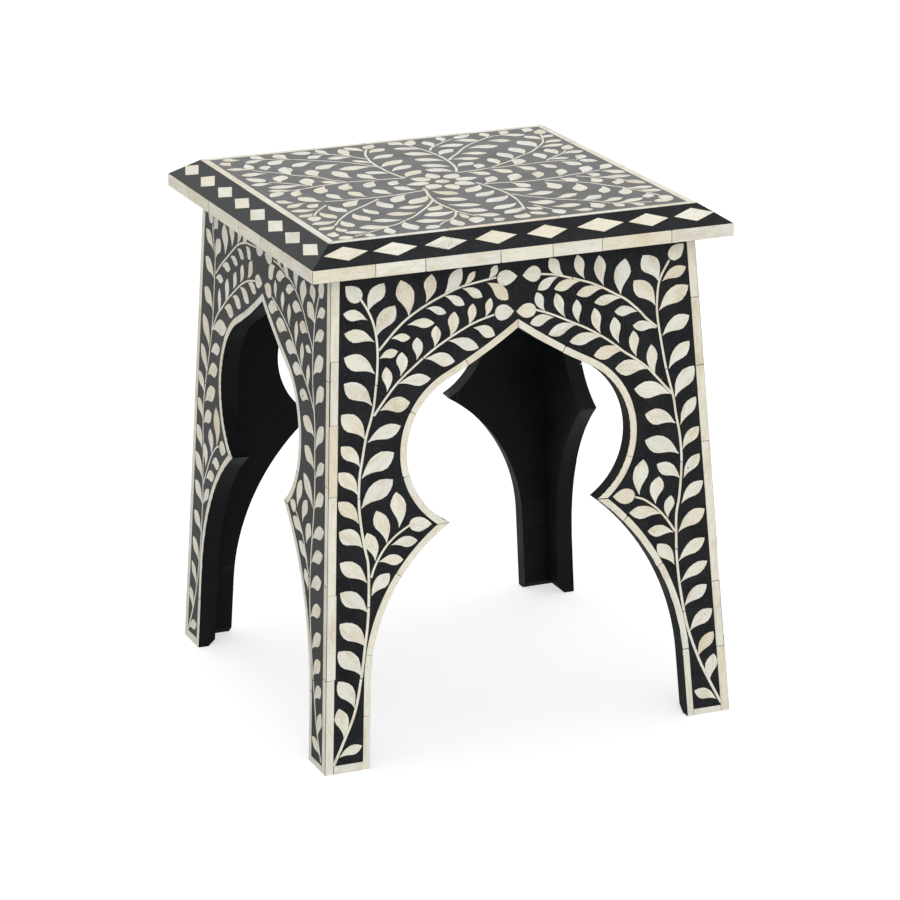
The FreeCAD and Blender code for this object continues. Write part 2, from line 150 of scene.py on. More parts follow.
def aim_camera():
    """Camera at the photograph's place, with its small tilt."""
    yaw, pitch, roll = (math.radians(angle) for angle in YAW_PITCH_ROLL)
    ahead = Vector((-math.sin(yaw) * math.cos(pitch), math.cos(yaw) * math.cos(pitch), -math.sin(pitch)))
    right = Vector((math.cos(yaw), math.sin(yaw), 0))
    up = right.cross(ahead)
    right, up = (math.cos(roll) * right + math.sin(roll) * up, math.cos(roll) * up - math.sin(roll) * right)
    data = bpy.data.cameras.new("camera")
    data.lens = LENS
    data.sensor_width = SENSOR_WIDTH
    camera = bpy.data.objects.new("camera", data)
    turn = Matrix((right, up, -ahead)).transposed().to_4x4()
    camera.matrix_world = Matrix.Translation(CAMERA_PLACE) @ turn
    bpy.context.scene.collection.objects.link(camera)
    bpy.context.scene.camera = camera


aim_camera()


# Shader groups and materials

def add(tree, kind, inputs=None, **settings):
    """Node with its settings and its inputs, each a value or a socket of another node."""
    node = tree.nodes.new(kind)
    for name, value in settings.items():
        setattr(node, name, value)
    for name, value in (inputs or {}).items():
        if isinstance(value, bpy.types.NodeSocket):
            tree.links.new(value, node.inputs[name])
        else:
            node.inputs[name].default_value = value
    return node


def maths(tree, operation, first, second):
    return add(tree, "ShaderNodeMath", {0: first, 1: second}, operation=operation).outputs[0]


def times(tree, first, second):
    return maths(tree, "MULTIPLY", first, second)


def layered(tree, colour, *layers):
    """Colour under layers of other colours, each laid on by its share."""
    for share, tint in layers:
        inputs = {0: share, 6: colour, 7: (*tint, 1)}
        colour = add(tree, "ShaderNodeMix", inputs, data_type="RGBA").outputs[2]
    return colour


def ramp(tree, value, low, high, start=0.0, end=1.0):
    """Value moved from one range to another and held inside it."""
    node = add(tree, "ShaderNodeMapRange", {"Value": value, "From Min": low, "From Max": high,
                                            "To Min": start, "To Max": end})
    return node.outputs["Result"]


def stretched(tree, place, stretch):
    """Place of a pattern, drawn out along its axes."""
    return add(tree, "ShaderNodeMapping", {"Vector": place, "Scale": stretch}).outputs["Vector"]


def noise(tree, place, scale, detail=3.0, roughness=0.55):
    inputs = {"Vector": place, "Scale": scale, "Detail": detail, "Roughness": roughness}
    return add(tree, "ShaderNodeTexNoise", inputs).outputs["Fac"]


def new_group(name, inputs, outputs):
    """Empty shader group with named inputs and outputs."""
    group = bpy.data.node_groups.new(name, "ShaderNodeTree")
    for socket, kind, value in inputs:
        made = group.interface.new_socket(name=socket, in_out="INPUT", socket_type="NodeSocket" + kind)
        if value is not None:
            made.default_value = value
    for socket in outputs:
        group.interface.new_socket(name=socket, in_out="OUTPUT", socket_type="NodeSocketFloat")
    return group, group.nodes.new("NodeGroupInput").outputs, group.nodes.new("NodeGroupOutput").inputs


def specks_group():
    """Small dark pits and specks, scattered unevenly."""
    group, given, made = new_group("specks", (("Place", "Vector", None), ("Scale", "Float", 400.0),
                                              ("Amount", "Float", 0.5)), ("Specks",))
    cells = add(group, "ShaderNodeTexVoronoi", {"Vector": given["Place"], "Scale": given["Scale"]})
    spot = ramp(group, cells.outputs["Distance"], 0.10, 0.26, 1.0, 0.0)
    patch = noise(group, given["Place"], 60.0)
    chance = maths(group, "GREATER_THAN", times(group, patch, given["Amount"]), 0.25)
    parts = add(group, "ShaderNodeSeparateColor", {"Color": cells.outputs["Color"]})
    pick = maths(group, "GREATER_THAN", parts.outputs[0], 0.72)
    group.links.new(times(group, spot, times(group, chance, pick)), made["Specks"])
    return group


def grain_group():
    """Long fibres along the first axis of a place, with fine streaks inside broad ones."""
    group, given, made = new_group("grain", (("Place", "Vector", None), ("Fineness", "Float", 1.0)),
                                   ("Fibres", "Broad"))
    long_way = stretched(group, given["Place"], (0.12, 1.0, 1.0))
    fine = noise(group, long_way, times(group, given["Fineness"], 1500.0), 4.0, 0.6)
    broad = noise(group, long_way, times(group, given["Fineness"], 260.0), 2.0)
    group.links.new(fine, made["Fibres"])
    group.links.new(broad, made["Broad"])
    return group


def scuffs_group():
    """Thin scratches in two headings and cloudy rubbed patches."""
    group, given, made = new_group("scuffs", (("Place", "Vector", None), ("Scale", "Float", 60.0)),
                                   ("Scratches", "Cloud"))
    lines = []
    for stretch in ((0.06, 1.0, 0.3), (0.8, 0.05, 1.0)):
        drawn_out = stretched(group, given["Place"], stretch)
        streak = noise(group, drawn_out, times(group, given["Scale"], 22.0), 1.0)
        lines.append(ramp(group, streak, 0.70, 0.74))
    cloud = noise(group, given["Place"], given["Scale"], 5.0, 0.6)
    thin = times(group, maths(group, "MAXIMUM", *lines), ramp(group, cloud, 0.45, 0.62))
    group.links.new(thin, made["Scratches"])
    group.links.new(cloud, made["Cloud"])
    return group


SPECKS, GRAIN, SCUFFS = specks_group(), grain_group(), scuffs_group()


def placed_group(tree, group, **inputs):
    """Shader group placed in a material with its own values."""
    return add(tree, "ShaderNodeGroup", inputs, node_tree=group).outputs


def new_material(name, roughness=0.5, ior=1.5):
    """Material with only a Principled shader."""
    material = bpy.data.materials.new(name)
    material.use_nodes = True
    tree = material.node_tree
    shader = tree.nodes["Principled BSDF"]
    shader.inputs["Roughness"].default_value = roughness
    shader.inputs["IOR"].default_value = ior
    return material, tree, shader


def object_place(tree):
    return add(tree, "ShaderNodeTexCoord").outputs["Object"]


def bump(tree, shader, height, distance):
    node = add(tree, "ShaderNodeBump", {"Height": height, "Distance": distance, "Strength": 1.0})
    tree.links.new(node.outputs["Normal"], shader.inputs["Normal"])


def bone_material():
    """Cream bone whose tone goes from piece to piece, with fibres along each piece, stains and pits."""
    material, tree, shader = new_material("bone", 0.36)
    along = add(tree, "ShaderNodeUVMap", uv_map="grain").outputs["UV"]
    tone = add(tree, "ShaderNodeAttribute", attribute_name="tone").outputs["Fac"]
    pitted = add(tree, "ShaderNodeAttribute", attribute_name="pits").outputs["Fac"]
    shades = add(tree, "ShaderNodeValToRGB", {"Fac": tone})
    stops = shades.color_ramp.elements
    stops[0].position, stops[0].color = 0.0, (0.74, 0.625, 0.445, 1)
    stops[1].position, stops[1].color = 1.0, (0.805, 0.80, 0.722, 1)
    for position, colour in ((0.2, (0.81, 0.737, 0.567, 1)), (0.45, (0.858, 0.827, 0.678, 1)),
                             (0.75, (0.88, 0.869, 0.763, 1))):
        stops.new(position).color = colour
    grain = placed_group(tree, GRAIN, Place=along, Fineness=1.0)
    wide = stretched(tree, along, (0.45, 1.0, 1.0))
    cloud = noise(tree, wide, 85.0, 3.0, 0.6)
    pale = noise(tree, wide, 150.0, 4.0, 0.7)
    specks = placed_group(tree, SPECKS, Place=along, Scale=520.0, Amount=0.5)["Specks"]
    holes = ramp(tree, noise(tree, along, 900.0, 2.0, 0.6), 0.56, 0.64)
    holes = times(tree, times(tree, holes, ramp(tree, cloud, 0.42, 0.56)), pitted)
    colour = layered(tree, shades.outputs["Color"],
                     (ramp(tree, cloud, 0.50, 0.74, 0.0, 0.72), (0.69, 0.56, 0.355)),
                     (ramp(tree, pale, 0.52, 0.76, 0.0, 0.36), (0.68, 0.67, 0.60)),
                     (ramp(tree, grain["Broad"], 0.44, 0.72, 0.0, 0.36), (0.62, 0.53, 0.39)),
                     (ramp(tree, grain["Fibres"], 0.38, 0.74, 0.0, 0.46), (0.52, 0.47, 0.38)),
                     (times(tree, specks, 0.6), (0.16, 0.12, 0.09)),
                     (times(tree, holes, 0.85), (0.09, 0.075, 0.06)))
    tree.links.new(colour, shader.inputs["Base Color"])
    tree.links.new(ramp(tree, grain["Broad"], 0.3, 0.7, 0.28, 0.46), shader.inputs["Roughness"])
    dents = maths(tree, "ADD", times(tree, specks, 2.0), times(tree, holes, 3.0))
    bump(tree, shader, maths(tree, "SUBTRACT", grain["Fibres"], dents), 0.00005)
    return material


def resin_material(name, ior):
    """Near-black resin, polished, with faint swirls, fine scratches and dust."""
    material, tree, shader = new_material(name, 0.3, ior)
    place = object_place(tree)
    scuffs = placed_group(tree, SCUFFS, Place=place, Scale=45.0)
    specks = placed_group(tree, SPECKS, Place=place, Scale=330.0, Amount=0.48)["Specks"]
    fine = noise(tree, place, 420.0, 2.0, 0.6)
    mottle = maths(tree, "ADD", times(tree, scuffs["Cloud"], 0.5), times(tree, fine, 0.5))
    colour = layered(tree, (0.0092, 0.0098, 0.0114, 1),
                     (ramp(tree, mottle, 0.38, 0.62), (0.0195, 0.0202, 0.0222)),
                     (times(tree, scuffs["Scratches"], 0.25), (0.07, 0.07, 0.072)),
                     (times(tree, specks, 0.25), (0.09, 0.085, 0.08)))
    tree.links.new(colour, shader.inputs["Base Color"])
    tree.links.new(ramp(tree, scuffs["Cloud"], 0.3, 0.7, 0.22, 0.34), shader.inputs["Roughness"])
    bump(tree, shader, maths(tree, "SUBTRACT", scuffs["Cloud"], scuffs["Scratches"]), 0.00003)
    return material


def glue_material():
    """Dark matt glue squeezed up round each piece of bone."""
    material, tree, shader = new_material("glue", 0.75, 1.34)
    cloud = placed_group(tree, SCUFFS, Place=object_place(tree), Scale=300.0)["Cloud"]
    colour = layered(tree, (0.004, 0.004, 0.005, 1), (ramp(tree, cloud, 0.35, 0.65), (0.03, 0.027, 0.023)))
    tree.links.new(colour, shader.inputs["Base Color"])
    tree.links.new(ramp(tree, cloud, 0.3, 0.7, 0.6, 0.85), shader.inputs["Roughness"])
    bump(tree, shader, cloud, 0.00008)
    return material


def painted_material():
    """Black painted wood, its grain showing faintly through, rubbed and dusty in places."""
    material, tree, shader = new_material("painted_wood", 0.5, 1.21)
    place = object_place(tree)
    upright = stretched(tree, place, (1.0, 1.0, 0.16))
    fibres = noise(tree, upright, 420.0, 3.0)
    scuffs = placed_group(tree, SCUFFS, Place=place, Scale=28.0)
    specks = placed_group(tree, SPECKS, Place=place, Scale=210.0, Amount=0.5)["Specks"]
    wear = maths(tree, "MAXIMUM", times(tree, scuffs["Scratches"], 0.3), times(tree, specks, 0.3))
    colour = layered(tree, (0.0045, 0.0052, 0.0060, 1),
                     (ramp(tree, scuffs["Cloud"], 0.3, 0.7), (0.0095, 0.0102, 0.0110)),
                     (wear, (0.05, 0.045, 0.037)))
    patches = ramp(tree, noise(tree, upright, 190.0, 4.0, 0.7), 0.5, 0.62)
    for cusp in WORN_CUSPS:
        away = add(tree, "ShaderNodeVectorMath", {0: place, 1: cusp}, operation="DISTANCE").outputs["Value"]
        rubbed = times(tree, ramp(tree, away, 0.004, 0.017, 1.0, 0.0), patches)
        colour = layered(tree, colour, (times(tree, rubbed, 0.5), (0.15, 0.125, 0.085)))
    tree.links.new(colour, shader.inputs["Base Color"])
    tree.links.new(ramp(tree, scuffs["Cloud"], 0.3, 0.7, 0.38, 0.6), shader.inputs["Roughness"])
    bump(tree, shader, maths(tree, "ADD", fibres, times(tree, scuffs["Cloud"], 0.6)), 0.00016)
    return material


BONE, GLUE, PAINT = bone_material(), glue_material(), painted_material()
RESIN, TOP_RESIN = resin_material("resin", 1.2), resin_material("top_resin", 1.34)


# Shaping and placing a piece

def turned(side):
    """Turns a front piece to its side and brings it to metres."""
    return Matrix.Scale(MM, 4) @ Matrix.Rotation(math.radians(90) * side, 4, "Z")


def blank(*corners):
    """Flat face through a few corners."""
    piece = bmesh.new()
    piece.faces.new([piece.verts.new((x, y, 0)) for x, y in corners])
    return piece


def lower(piece, depth):
    """Moves a flat piece down into its bed."""
    bmesh.ops.translate(piece, vec=(0, 0, -depth), verts=piece.verts)


def thicken(piece, depth):
    """Gives flat faces a wall and a back, down from where they lie."""
    bmesh.ops.recalc_face_normals(piece, faces=piece.faces)
    if sum(face.normal.z for face in piece.faces) < 0:
        bmesh.ops.reverse_faces(piece, faces=piece.faces)
    top = list(piece.faces)
    grown = bmesh.ops.extrude_face_region(piece, geom=top)["geom"]
    moved = [part for part in grown if isinstance(part, bmesh.types.BMVert)]
    bmesh.ops.translate(piece, vec=(0, 0, -depth), verts=moved)
    bmesh.ops.recalc_face_normals(piece, faces=piece.faces)
    return top


def trim(piece, point, normal, finish=0):
    """Cuts off what lies beyond a plane and closes the cut with a face in a finish."""
    everything = list(piece.verts) + list(piece.edges) + list(piece.faces)
    cut = bmesh.ops.bisect_plane(piece, geom=everything, plane_co=point, plane_no=normal, clear_outer=True)
    edges = [part for part in cut["geom_cut"] if isinstance(part, bmesh.types.BMEdge) and part.is_boundary]
    if edges:
        for face in bmesh.ops.holes_fill(piece, edges=edges, sides=0)["faces"]:
            face.material_index = finish


def soften(piece, size=ROUNDING):
    """Takes the sharpness off the edges."""
    sharp = [edge for edge in piece.edges if edge.is_manifold and edge.calc_face_angle() > SHARP_EDGE]
    bmesh.ops.bevel(piece, geom=sharp, offset=size, offset_type="OFFSET", segments=1, profile=0.5,
                    affect="EDGES", material=-1, clamp_overlap=True)


def piece_tone():
    """Tone of a piece of bone: mostly cream, now and then tan."""
    return draw.uniform(*TAN_TONE) if draw.random() < TAN_CHANCE else draw.uniform(*CREAM_TONE)


def set_piece(target, piece, drawing, side=0, heading=0.0, tone=None, cuts=(), rounding=ROUNDING, pits=None):
    """Places one bone piece, trims it, marks its fibres and tone, and joins it to the others of its kind."""
    bmesh.ops.transform(piece, matrix=drawing, verts=piece.verts)
    for cut in cuts:
        trim(piece, *cut)
    bmesh.ops.recalc_face_normals(piece, faces=piece.faces)
    if rounding:
        soften(piece, rounding)
    back_to_drawing = drawing.inverted()
    along = Vector((math.cos(heading), math.sin(heading), 0))
    across = Vector((-along.y, along.x, 0))
    shift = (draw.random(), draw.random())
    grain = piece.loops.layers.uv.new("grain")
    shade = piece.faces.layers.float.new("tone")
    holed = piece.faces.layers.float.new("pits")
    pits = max(0.0, draw.uniform(*PITTING)) if pits is None else pits
    tone = piece_tone() if tone is None else tone
    for face in piece.faces:
        face[shade] = tone
        face[holed] = pits
        for loop in face.loops:
            place = back_to_drawing @ loop.vert.co
            loop[grain].uv = (place.dot(along) * MM + shift[0], place.dot(across) * MM + shift[1])
    bmesh.ops.transform(piece, matrix=turned(side), verts=piece.verts)
    mesh = bpy.data.meshes.new("piece")
    piece.to_mesh(mesh)
    piece.free()
    target.from_mesh(mesh)
    bpy.data.meshes.remove(mesh)


def keep(name, shape, material, slot, *nodes):
    """Object of the joined pieces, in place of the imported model's nodes."""
    mesh = bpy.data.meshes.new(name)
    shape.to_mesh(mesh)
    shape.free()
    mesh.materials.append(material)
    if material is BONE:
        mesh.materials.append(GLUE)
        mesh.materials.append(PAINT)
    obj = bpy.data.objects.new(name, mesh)
    bpy.context.scene.collection.objects.link(obj)
    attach(obj, "root")
    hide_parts(*nodes)


def edge_at(height):
    """Half width of a side's face at a height up the slope."""
    return TOP_HALF - TOP_OVERHANG * height / FACE_HEIGHT


def mitres(gap):
    """Upright planes at the corners, where a front piece meets its neighbours on the sides."""
    return ((0, -gap, 0), (1, 1, 0), 1), ((0, -gap, 0), (-1, 1, 0), 1)


def chip(piece, corner, inward, size):
    """Breaks off the corner of a piece."""
    place = corner + inward * size
    trim(piece, (place.x, place.y, 0), (-inward.x, -inward.y, 0))


# A side's pieces end at the floor and under the board.
SIDE_ENDS = (((0, 0, 0), (0, 0, -1)), ((0, 0, UNDERSIDE), (0, 0, 1)))


# Arch

def arc_centre(start, direction, end):
    """Centre of the arc that leaves the start along a direction and ends at a point."""
    side = Vector((-direction.y, direction.x)).normalized()
    chord = end - start
    return start + side * (chord.length_squared / (2 * side.dot(chord)))


def circle_centre(first, second, third):
    """Centre of the circle through three points."""
    one, two = second - first, third - first
    cross = 2 * (one.x * two.y - one.y * two.x)
    offset = Vector((two.y * one.length_squared - one.y * two.length_squared,
                     one.x * two.length_squared - two.x * one.length_squared)) / cross
    return first + offset


def crossing(centre, radius, other, other_radius, near):
    """Where two circles cross, next to a point."""
    between = other - centre
    along = (radius ** 2 - other_radius ** 2 + between.length_squared) / (2 * between.length)
    up = math.sqrt(max(radius ** 2 - along ** 2, 0.0))
    heading = between.normalized()
    side = Vector((-heading.y, heading.x))
    found = [centre + heading * along + side * up * sign for sign in (1, -1)]
    return min(found, key=lambda point: (point - near).length)


def turn_between(centre, start, end):
    """Angle from one point to another round a centre."""
    first, last = start - centre, end - centre
    return math.atan2(first.x * last.y - first.y * last.x, first.dot(last))


LEG_FOOT = Vector((edge_at(-FOOT_OVERRUN) - LEG_WIDTH, -FOOT_OVERRUN))
APEX = Vector((0, ARCH_HEIGHT))


class ArchHalf:
    """Corners and arcs of one half of the arch, drawn on the right."""

    def __init__(self, straight_height, cusp, widest, shoulder):
        self.straight = straight_height
        self.cusp, self.widest, self.shoulder = [Vector((across * ARCH_WIDTH, up * ARCH_HEIGHT))
                                                 for across, up in (cusp, widest, shoulder)]
        self.leg_top = Vector((edge_at(straight_height) - LEG_WIDTH, straight_height))
        self.lobe_centre = circle_centre(self.cusp, self.widest, self.shoulder)
        self.lobe_radius = (self.cusp - self.lobe_centre).length
        self.leg_centre = arc_centre(self.leg_top, self.leg_top - LEG_FOOT, self.cusp)
        self.leg_radius = (self.cusp - self.leg_centre).length
        spoke = self.shoulder - self.lobe_centre
        self.ogee_centre = arc_centre(self.shoulder, Vector((-spoke.y, spoke.x)), APEX)
        self.ogee_radius = (APEX - self.ogee_centre).length


# The two halves are cut by hand and not quite alike.
LEFT_HALF = ArchHalf(78.0, (0.331, 0.562), (0.508, 0.724), (0.311, 0.902))
RIGHT_HALF = ArchHalf(57.0, (0.332, 0.568), (0.492, 0.724), (0.313, 0.892))


def swept(start, heading, runs):
    """Bone edging with the wood on its right, its section led through straight runs and turns.

    The side towards the opening is painted.
    """
    piece = bmesh.new()
    out = Vector((heading.y, -heading.x)).normalized() * EDGING_WIDTH
    section = [(start, 0), (start + out, 0), (start + out, -BONE_THICKNESS), (start, -BONE_THICKNESS)]
    face = piece.faces.new([piece.verts.new((place.x, place.y, z)) for place, z in section])
    opening = piece.verts.layers.float.new("opening")
    for vert in (face.verts[0], face.verts[3]):
        vert[opening] = 1.0
    last = list(face.verts) + list(face.edges) + [face]
    for centre, turn in runs:
        if centre is None:
            last = bmesh.ops.extrude_face_region(piece, geom=last)["geom"]
            moved = [part for part in last if isinstance(part, bmesh.types.BMVert)]
            bmesh.ops.translate(piece, vec=(turn.x, turn.y, 0), verts=moved)
        else:
            steps = max(2, math.ceil(abs(math.degrees(turn)) / ARC_STEP))
            last = bmesh.ops.spin(piece, geom=last, cent=(centre.x, centre.y, 0), axis=(0, 0, 1),
                                  angle=turn, steps=steps, use_duplicate=False)["geom_last"]
    bmesh.ops.remove_doubles(piece, verts=piece.verts, dist=0.0001)
    bmesh.ops.recalc_face_normals(piece, faces=piece.faces)
    for face in piece.faces:
        if face.normal.z < -0.9 or all(vert[opening] > 0.99 for vert in face.verts):
            face.material_index = PAINTED
    piece.verts.layers.float.remove(opening)
    return piece


def on_arc(centre, radius, degrees):
    """Place on an arc, and the way that a walk up the arch goes there."""
    angle = math.radians(degrees)
    spoke = Vector((math.cos(angle), math.sin(angle)))
    return centre + spoke * radius, Vector((-spoke.y, spoke.x))


def edging_joints(arch, leg_heights, lobe_degrees, ogee_places):
    """Places where the edging of one half is butted, each with the way along the edging."""
    leg = []
    for height in leg_heights:
        if height < arch.straight:
            way = (arch.leg_top - LEG_FOOT).normalized()
            leg.append((Vector((edge_at(height) - LEG_WIDTH, height)), way))
        else:
            angle = math.degrees(math.asin((height - arch.leg_centre.y) / arch.leg_radius))
            leg.append(on_arc(arch.leg_centre, arch.leg_radius, angle))
    upper = [on_arc(arch.lobe_centre, arch.lobe_radius, degrees) for degrees in lobe_degrees]
    for across in ogee_places:
        spoke_y = -math.sqrt(arch.ogee_radius ** 2 - (across - arch.ogee_centre.x) ** 2)
        spoke = Vector((across - arch.ogee_centre.x, spoke_y)) / arch.ogee_radius
        upper.append((arch.ogee_centre + spoke * arch.ogee_radius, Vector((spoke.y, -spoke.x))))
    return leg, upper


# Turns by which the edging runs past the cusp and the point before it is cut.
LEG_PAST_CUSP = 0.06
LOBE_BEFORE_CUSP = 0.16
OGEE_PAST_POINT = -0.03


def leg_edging(arch):
    """Whole edging of one half below its cusp."""
    rise = arch.leg_top - LEG_FOOT
    turn = turn_between(arch.leg_centre, arch.leg_top, arch.cusp) + LEG_PAST_CUSP
    return swept(LEG_FOOT, rise, ((None, rise), (arch.leg_centre, turn)))


def upper_edging(arch):
    """Whole edging of one half above its cusp."""
    spoke = Matrix.Rotation(-LOBE_BEFORE_CUSP, 2) @ (arch.cusp - arch.lobe_centre)
    lobe_turn = turn_between(arch.lobe_centre, arch.cusp, arch.shoulder) + LOBE_BEFORE_CUSP
    ogee_turn = turn_between(arch.ogee_centre, arch.shoulder, APEX) + OGEE_PAST_POINT
    runs = ((arch.lobe_centre, lobe_turn), (arch.ogee_centre, ogee_turn))
    return swept(arch.lobe_centre + spoke, Vector((-spoke.y, spoke.x)), runs)


def edging_run(target, side, half, arch, joints, tones=()):
    """Edging of one half of an arch, in butted pieces with a mitre at the cusp and at the point."""
    leg_way = Vector((arch.leg_centre.y - arch.cusp.y, arch.cusp.x - arch.leg_centre.x)).normalized()
    lobe_way = Vector((arch.lobe_centre.y - arch.cusp.y, arch.cusp.x - arch.lobe_centre.x)).normalized()
    cusp_way = (leg_way + lobe_way).normalized()
    ends = ((LEG_FOOT, Vector((0, 1))), (arch.cusp, cusp_way), (APEX, Vector((-1, 0))))
    tones = list(tones)
    for whole, places, start, stop in zip((leg_edging, upper_edging), joints, ends, ends[1:]):
        stations = [start] + list(places) + [stop]
        for (low, low_way), (high, high_way) in zip(stations, stations[1:]):
            piece = whole(arch)
            slip = draw.uniform(*EDGING_SLIP)
            for place, way, sign in ((low, low_way, -1), (high, high_way, 1)):
                inner = place - way * (sign * draw.uniform(JOINT_GAP, WIDEST_GAP) / 2)
                trim(piece, (inner.x, inner.y, 0), (sign * way.x, sign * way.y, 0), GLUED)
                outward = Vector((way.y, -way.x))
                if place not in (start[0], stop[0]) and draw.random() < EDGING_CHIP_CHANCE:
                    chip(piece, inner + outward * EDGING_WIDTH, (-way * sign - outward).normalized(),
                         draw.uniform(*EDGING_CHIP))
            middle = (high - low).normalized()
            out = Vector((middle.y, -middle.x)) * slip
            bmesh.ops.translate(piece, vec=(out.x, out.y, 0), verts=piece.verts)
            if half < 0:
                bmesh.ops.scale(piece, vec=(-1, 1, 1), verts=piece.verts)
            heading = math.atan2(middle.y, half * middle.x)
            tone = tones.pop(0) if tones else None
            set_piece(target, piece, SIDE_DRAWING, side, heading, tone, SIDE_ENDS)


# Resin fields

def arc_places(centre, start, end):
    """Places along an arc from its start to just before its end."""
    turn = turn_between(centre, start, end)
    steps = max(3, math.ceil(abs(math.degrees(turn)) / ARC_STEP))
    return [centre + Matrix.Rotation(turn * step / steps, 2) @ (start - centre) for step in range(steps)]


def field_edge(arch, foot_height):
    """Edge of the resin on one half, drawn on the right, from the board down the strip and up the edging."""
    grown_leg = arch.leg_radius + EDGING_WIDTH
    grown_lobe = arch.lobe_radius + EDGING_WIDTH
    near_cusp = arch.cusp + Vector((EDGING_WIDTH, 0))
    corner = crossing(arch.leg_centre, grown_leg, arch.lobe_centre, grown_lobe, near_cusp)
    leg_top = arch.leg_centre + (arch.leg_top - arch.leg_centre).normalized() * grown_leg
    shoulder = arch.lobe_centre + (arch.shoulder - arch.lobe_centre).normalized() * grown_lobe
    inside = arch.ogee_radius - EDGING_WIDTH
    peak = Vector((0, arch.ogee_centre.y - math.sqrt(inside ** 2 - arch.ogee_centre.x ** 2)))
    places = [Vector((edge_at(height) - CORNER_STRIP_WIDTH, height)) for height in (FACE_HEIGHT, foot_height)]
    places.append(Vector((edge_at(foot_height) - LEG_WIDTH + EDGING_WIDTH, foot_height)))
    for centre, start, end in ((arch.leg_centre, leg_top, corner), (arch.lobe_centre, corner, shoulder),
                               (arch.ogee_centre, shoulder, peak)):
        places += arc_places(centre, start, end)
    return places, peak


def resin_slab(drawing, *corners):
    """Resin poured a hair below the bone, placed on the front."""
    shape = blank(*corners)
    lower(shape, RESIN_DEPTH)
    thicken(shape, BONE_THICKNESS - RESIN_DEPTH)
    bmesh.ops.transform(shape, matrix=drawing, verts=shape.verts)
    return shape


def side_resin(side):
    """Resin field of a side."""
    right = field_edge(RIGHT_HALF, FIELD_FOOT)[0]
    left, peak = field_edge(LEFT_HALF, FIELD_FOOT)
    mirrored = [Vector((-place.x, place.y)) for place in left]
    shape = resin_slab(SIDE_DRAWING, *(right + [peak] + mirrored[::-1]))
    trim(shape, (0, 0, UNDERSIDE), (0, 0, 1))
    bmesh.ops.transform(shape, matrix=turned(side), verts=shape.verts)
    bmesh.ops.recalc_face_normals(shape, faces=shape.faces)
    bmesh.ops.triangulate(shape, faces=[face for face in shape.faces if len(face.verts) > 4])
    keep("resin_" + SIDES[side], shape, RESIN, "resin", "side_ground_" + SIDES[side])


def bevel_resin(side):
    """Resin of one bevel, mitred to its neighbours."""
    end = TOP_HALF + OVERRUN
    shape = resin_slab(BEVEL_DRAWING, (-end, 0), (end, 0), (end, BEVEL_WIDTH), (-end, BEVEL_WIDTH))
    for point, normal in (((0, 0, 0), (1, 1, 0)), ((0, 0, 0), (-1, 1, 0)),
                          ((0, 0, BEVEL_FOOT), (0, 0, -1)), ((0, -FLAT_HALF, 0), (0, 1, 0))):
        trim(shape, point, normal)
    bmesh.ops.recalc_face_normals(shape, faces=shape.faces)
    soften(shape, BEVEL_ROUNDING)
    bmesh.ops.transform(shape, matrix=turned(side), verts=shape.verts)
    keep("resin_bevel_" + SIDES[side], shape, RESIN, "resin", "bevel_ground_" + SIDES[side])


def top_resin():
    """Resin of the flat top inside its border."""
    half = FIELD_HALF
    shape = resin_slab(turned(0) @ TOP_DRAWING, (-half, -half), (half, -half), (half, half), (-half, half))
    keep("resin_top", shape, TOP_RESIN, "resin", "top_ground")


# Leaves and stems

# Edges of a leaf from its stalk to its point and back, as shares of its length and of its width.
# The first edge swells all the way from the stalk; the second hollows beside it and swells later.
LEAF_EDGE = ((0.0, 0.02), (0.09, 0.13), (0.19, 0.28), (0.31, 0.43), (0.44, 0.53), (0.6, 0.56), (0.75, 0.48),
             (0.89, 0.27), (1.0, 0.0), (0.91, -0.2), (0.79, -0.36), (0.65, -0.44), (0.51, -0.38),
             (0.39, -0.24), (0.26, -0.11), (0.13, -0.04), (0.0, -0.03))
DROP_EDGE = ((0.0, 0.05), (0.03, 0.2), (0.12, 0.37), (0.28, 0.48), (0.46, 0.5), (0.64, 0.42), (0.82, 0.25),
             (1.0, 0.0), (0.82, -0.25), (0.64, -0.42), (0.46, -0.5), (0.28, -0.48), (0.12, -0.37),
             (0.03, -0.2), (0.0, -0.05))


def inlay(piece):
    """Turns flat faces into a thin piece of bone with a line of glue round its face."""
    lower(piece, GLUE_DEPTH)
    top = thicken(piece, LEAF_THICKNESS - GLUE_DEPTH)
    ring = bmesh.ops.inset_region(piece, faces=top, thickness=GLUE_WIDTH, depth=GLUE_DEPTH,
                                  use_even_offset=True, use_boundary=True)["faces"]
    for face in ring:
        face.material_index = GLUED


def leaf(base, tip, width, outline, way):
    """Flat leaf from its base to its tip; the way is 1 where its first edge lies on the left."""
    along = tip - base
    across = Vector((-along.y, along.x)).normalized() * (width * way)
    corners = []
    for out, up in outline:
        wobble = 1 + draw.uniform(*LEAF_WOBBLE)
        place = base + along * out + across * up * wobble
        corners.append((place.x, place.y))
    return blank(*(corners if way > 0 else corners[::-1]))


def filler(target, drawing, side, place, radius):
    """Spot of dark glue that fills a hole in the bone."""
    piece = bmesh.new()
    bmesh.ops.create_circle(piece, cap_ends=True, segments=7, radius=radius)
    bmesh.ops.translate(piece, vec=(place.x, place.y, 0.01), verts=piece.verts)
    thicken(piece, GLUE_DEPTH)
    for face in piece.faces:
        face.material_index = GLUED
    set_piece(target, piece, drawing, side, rounding=0)


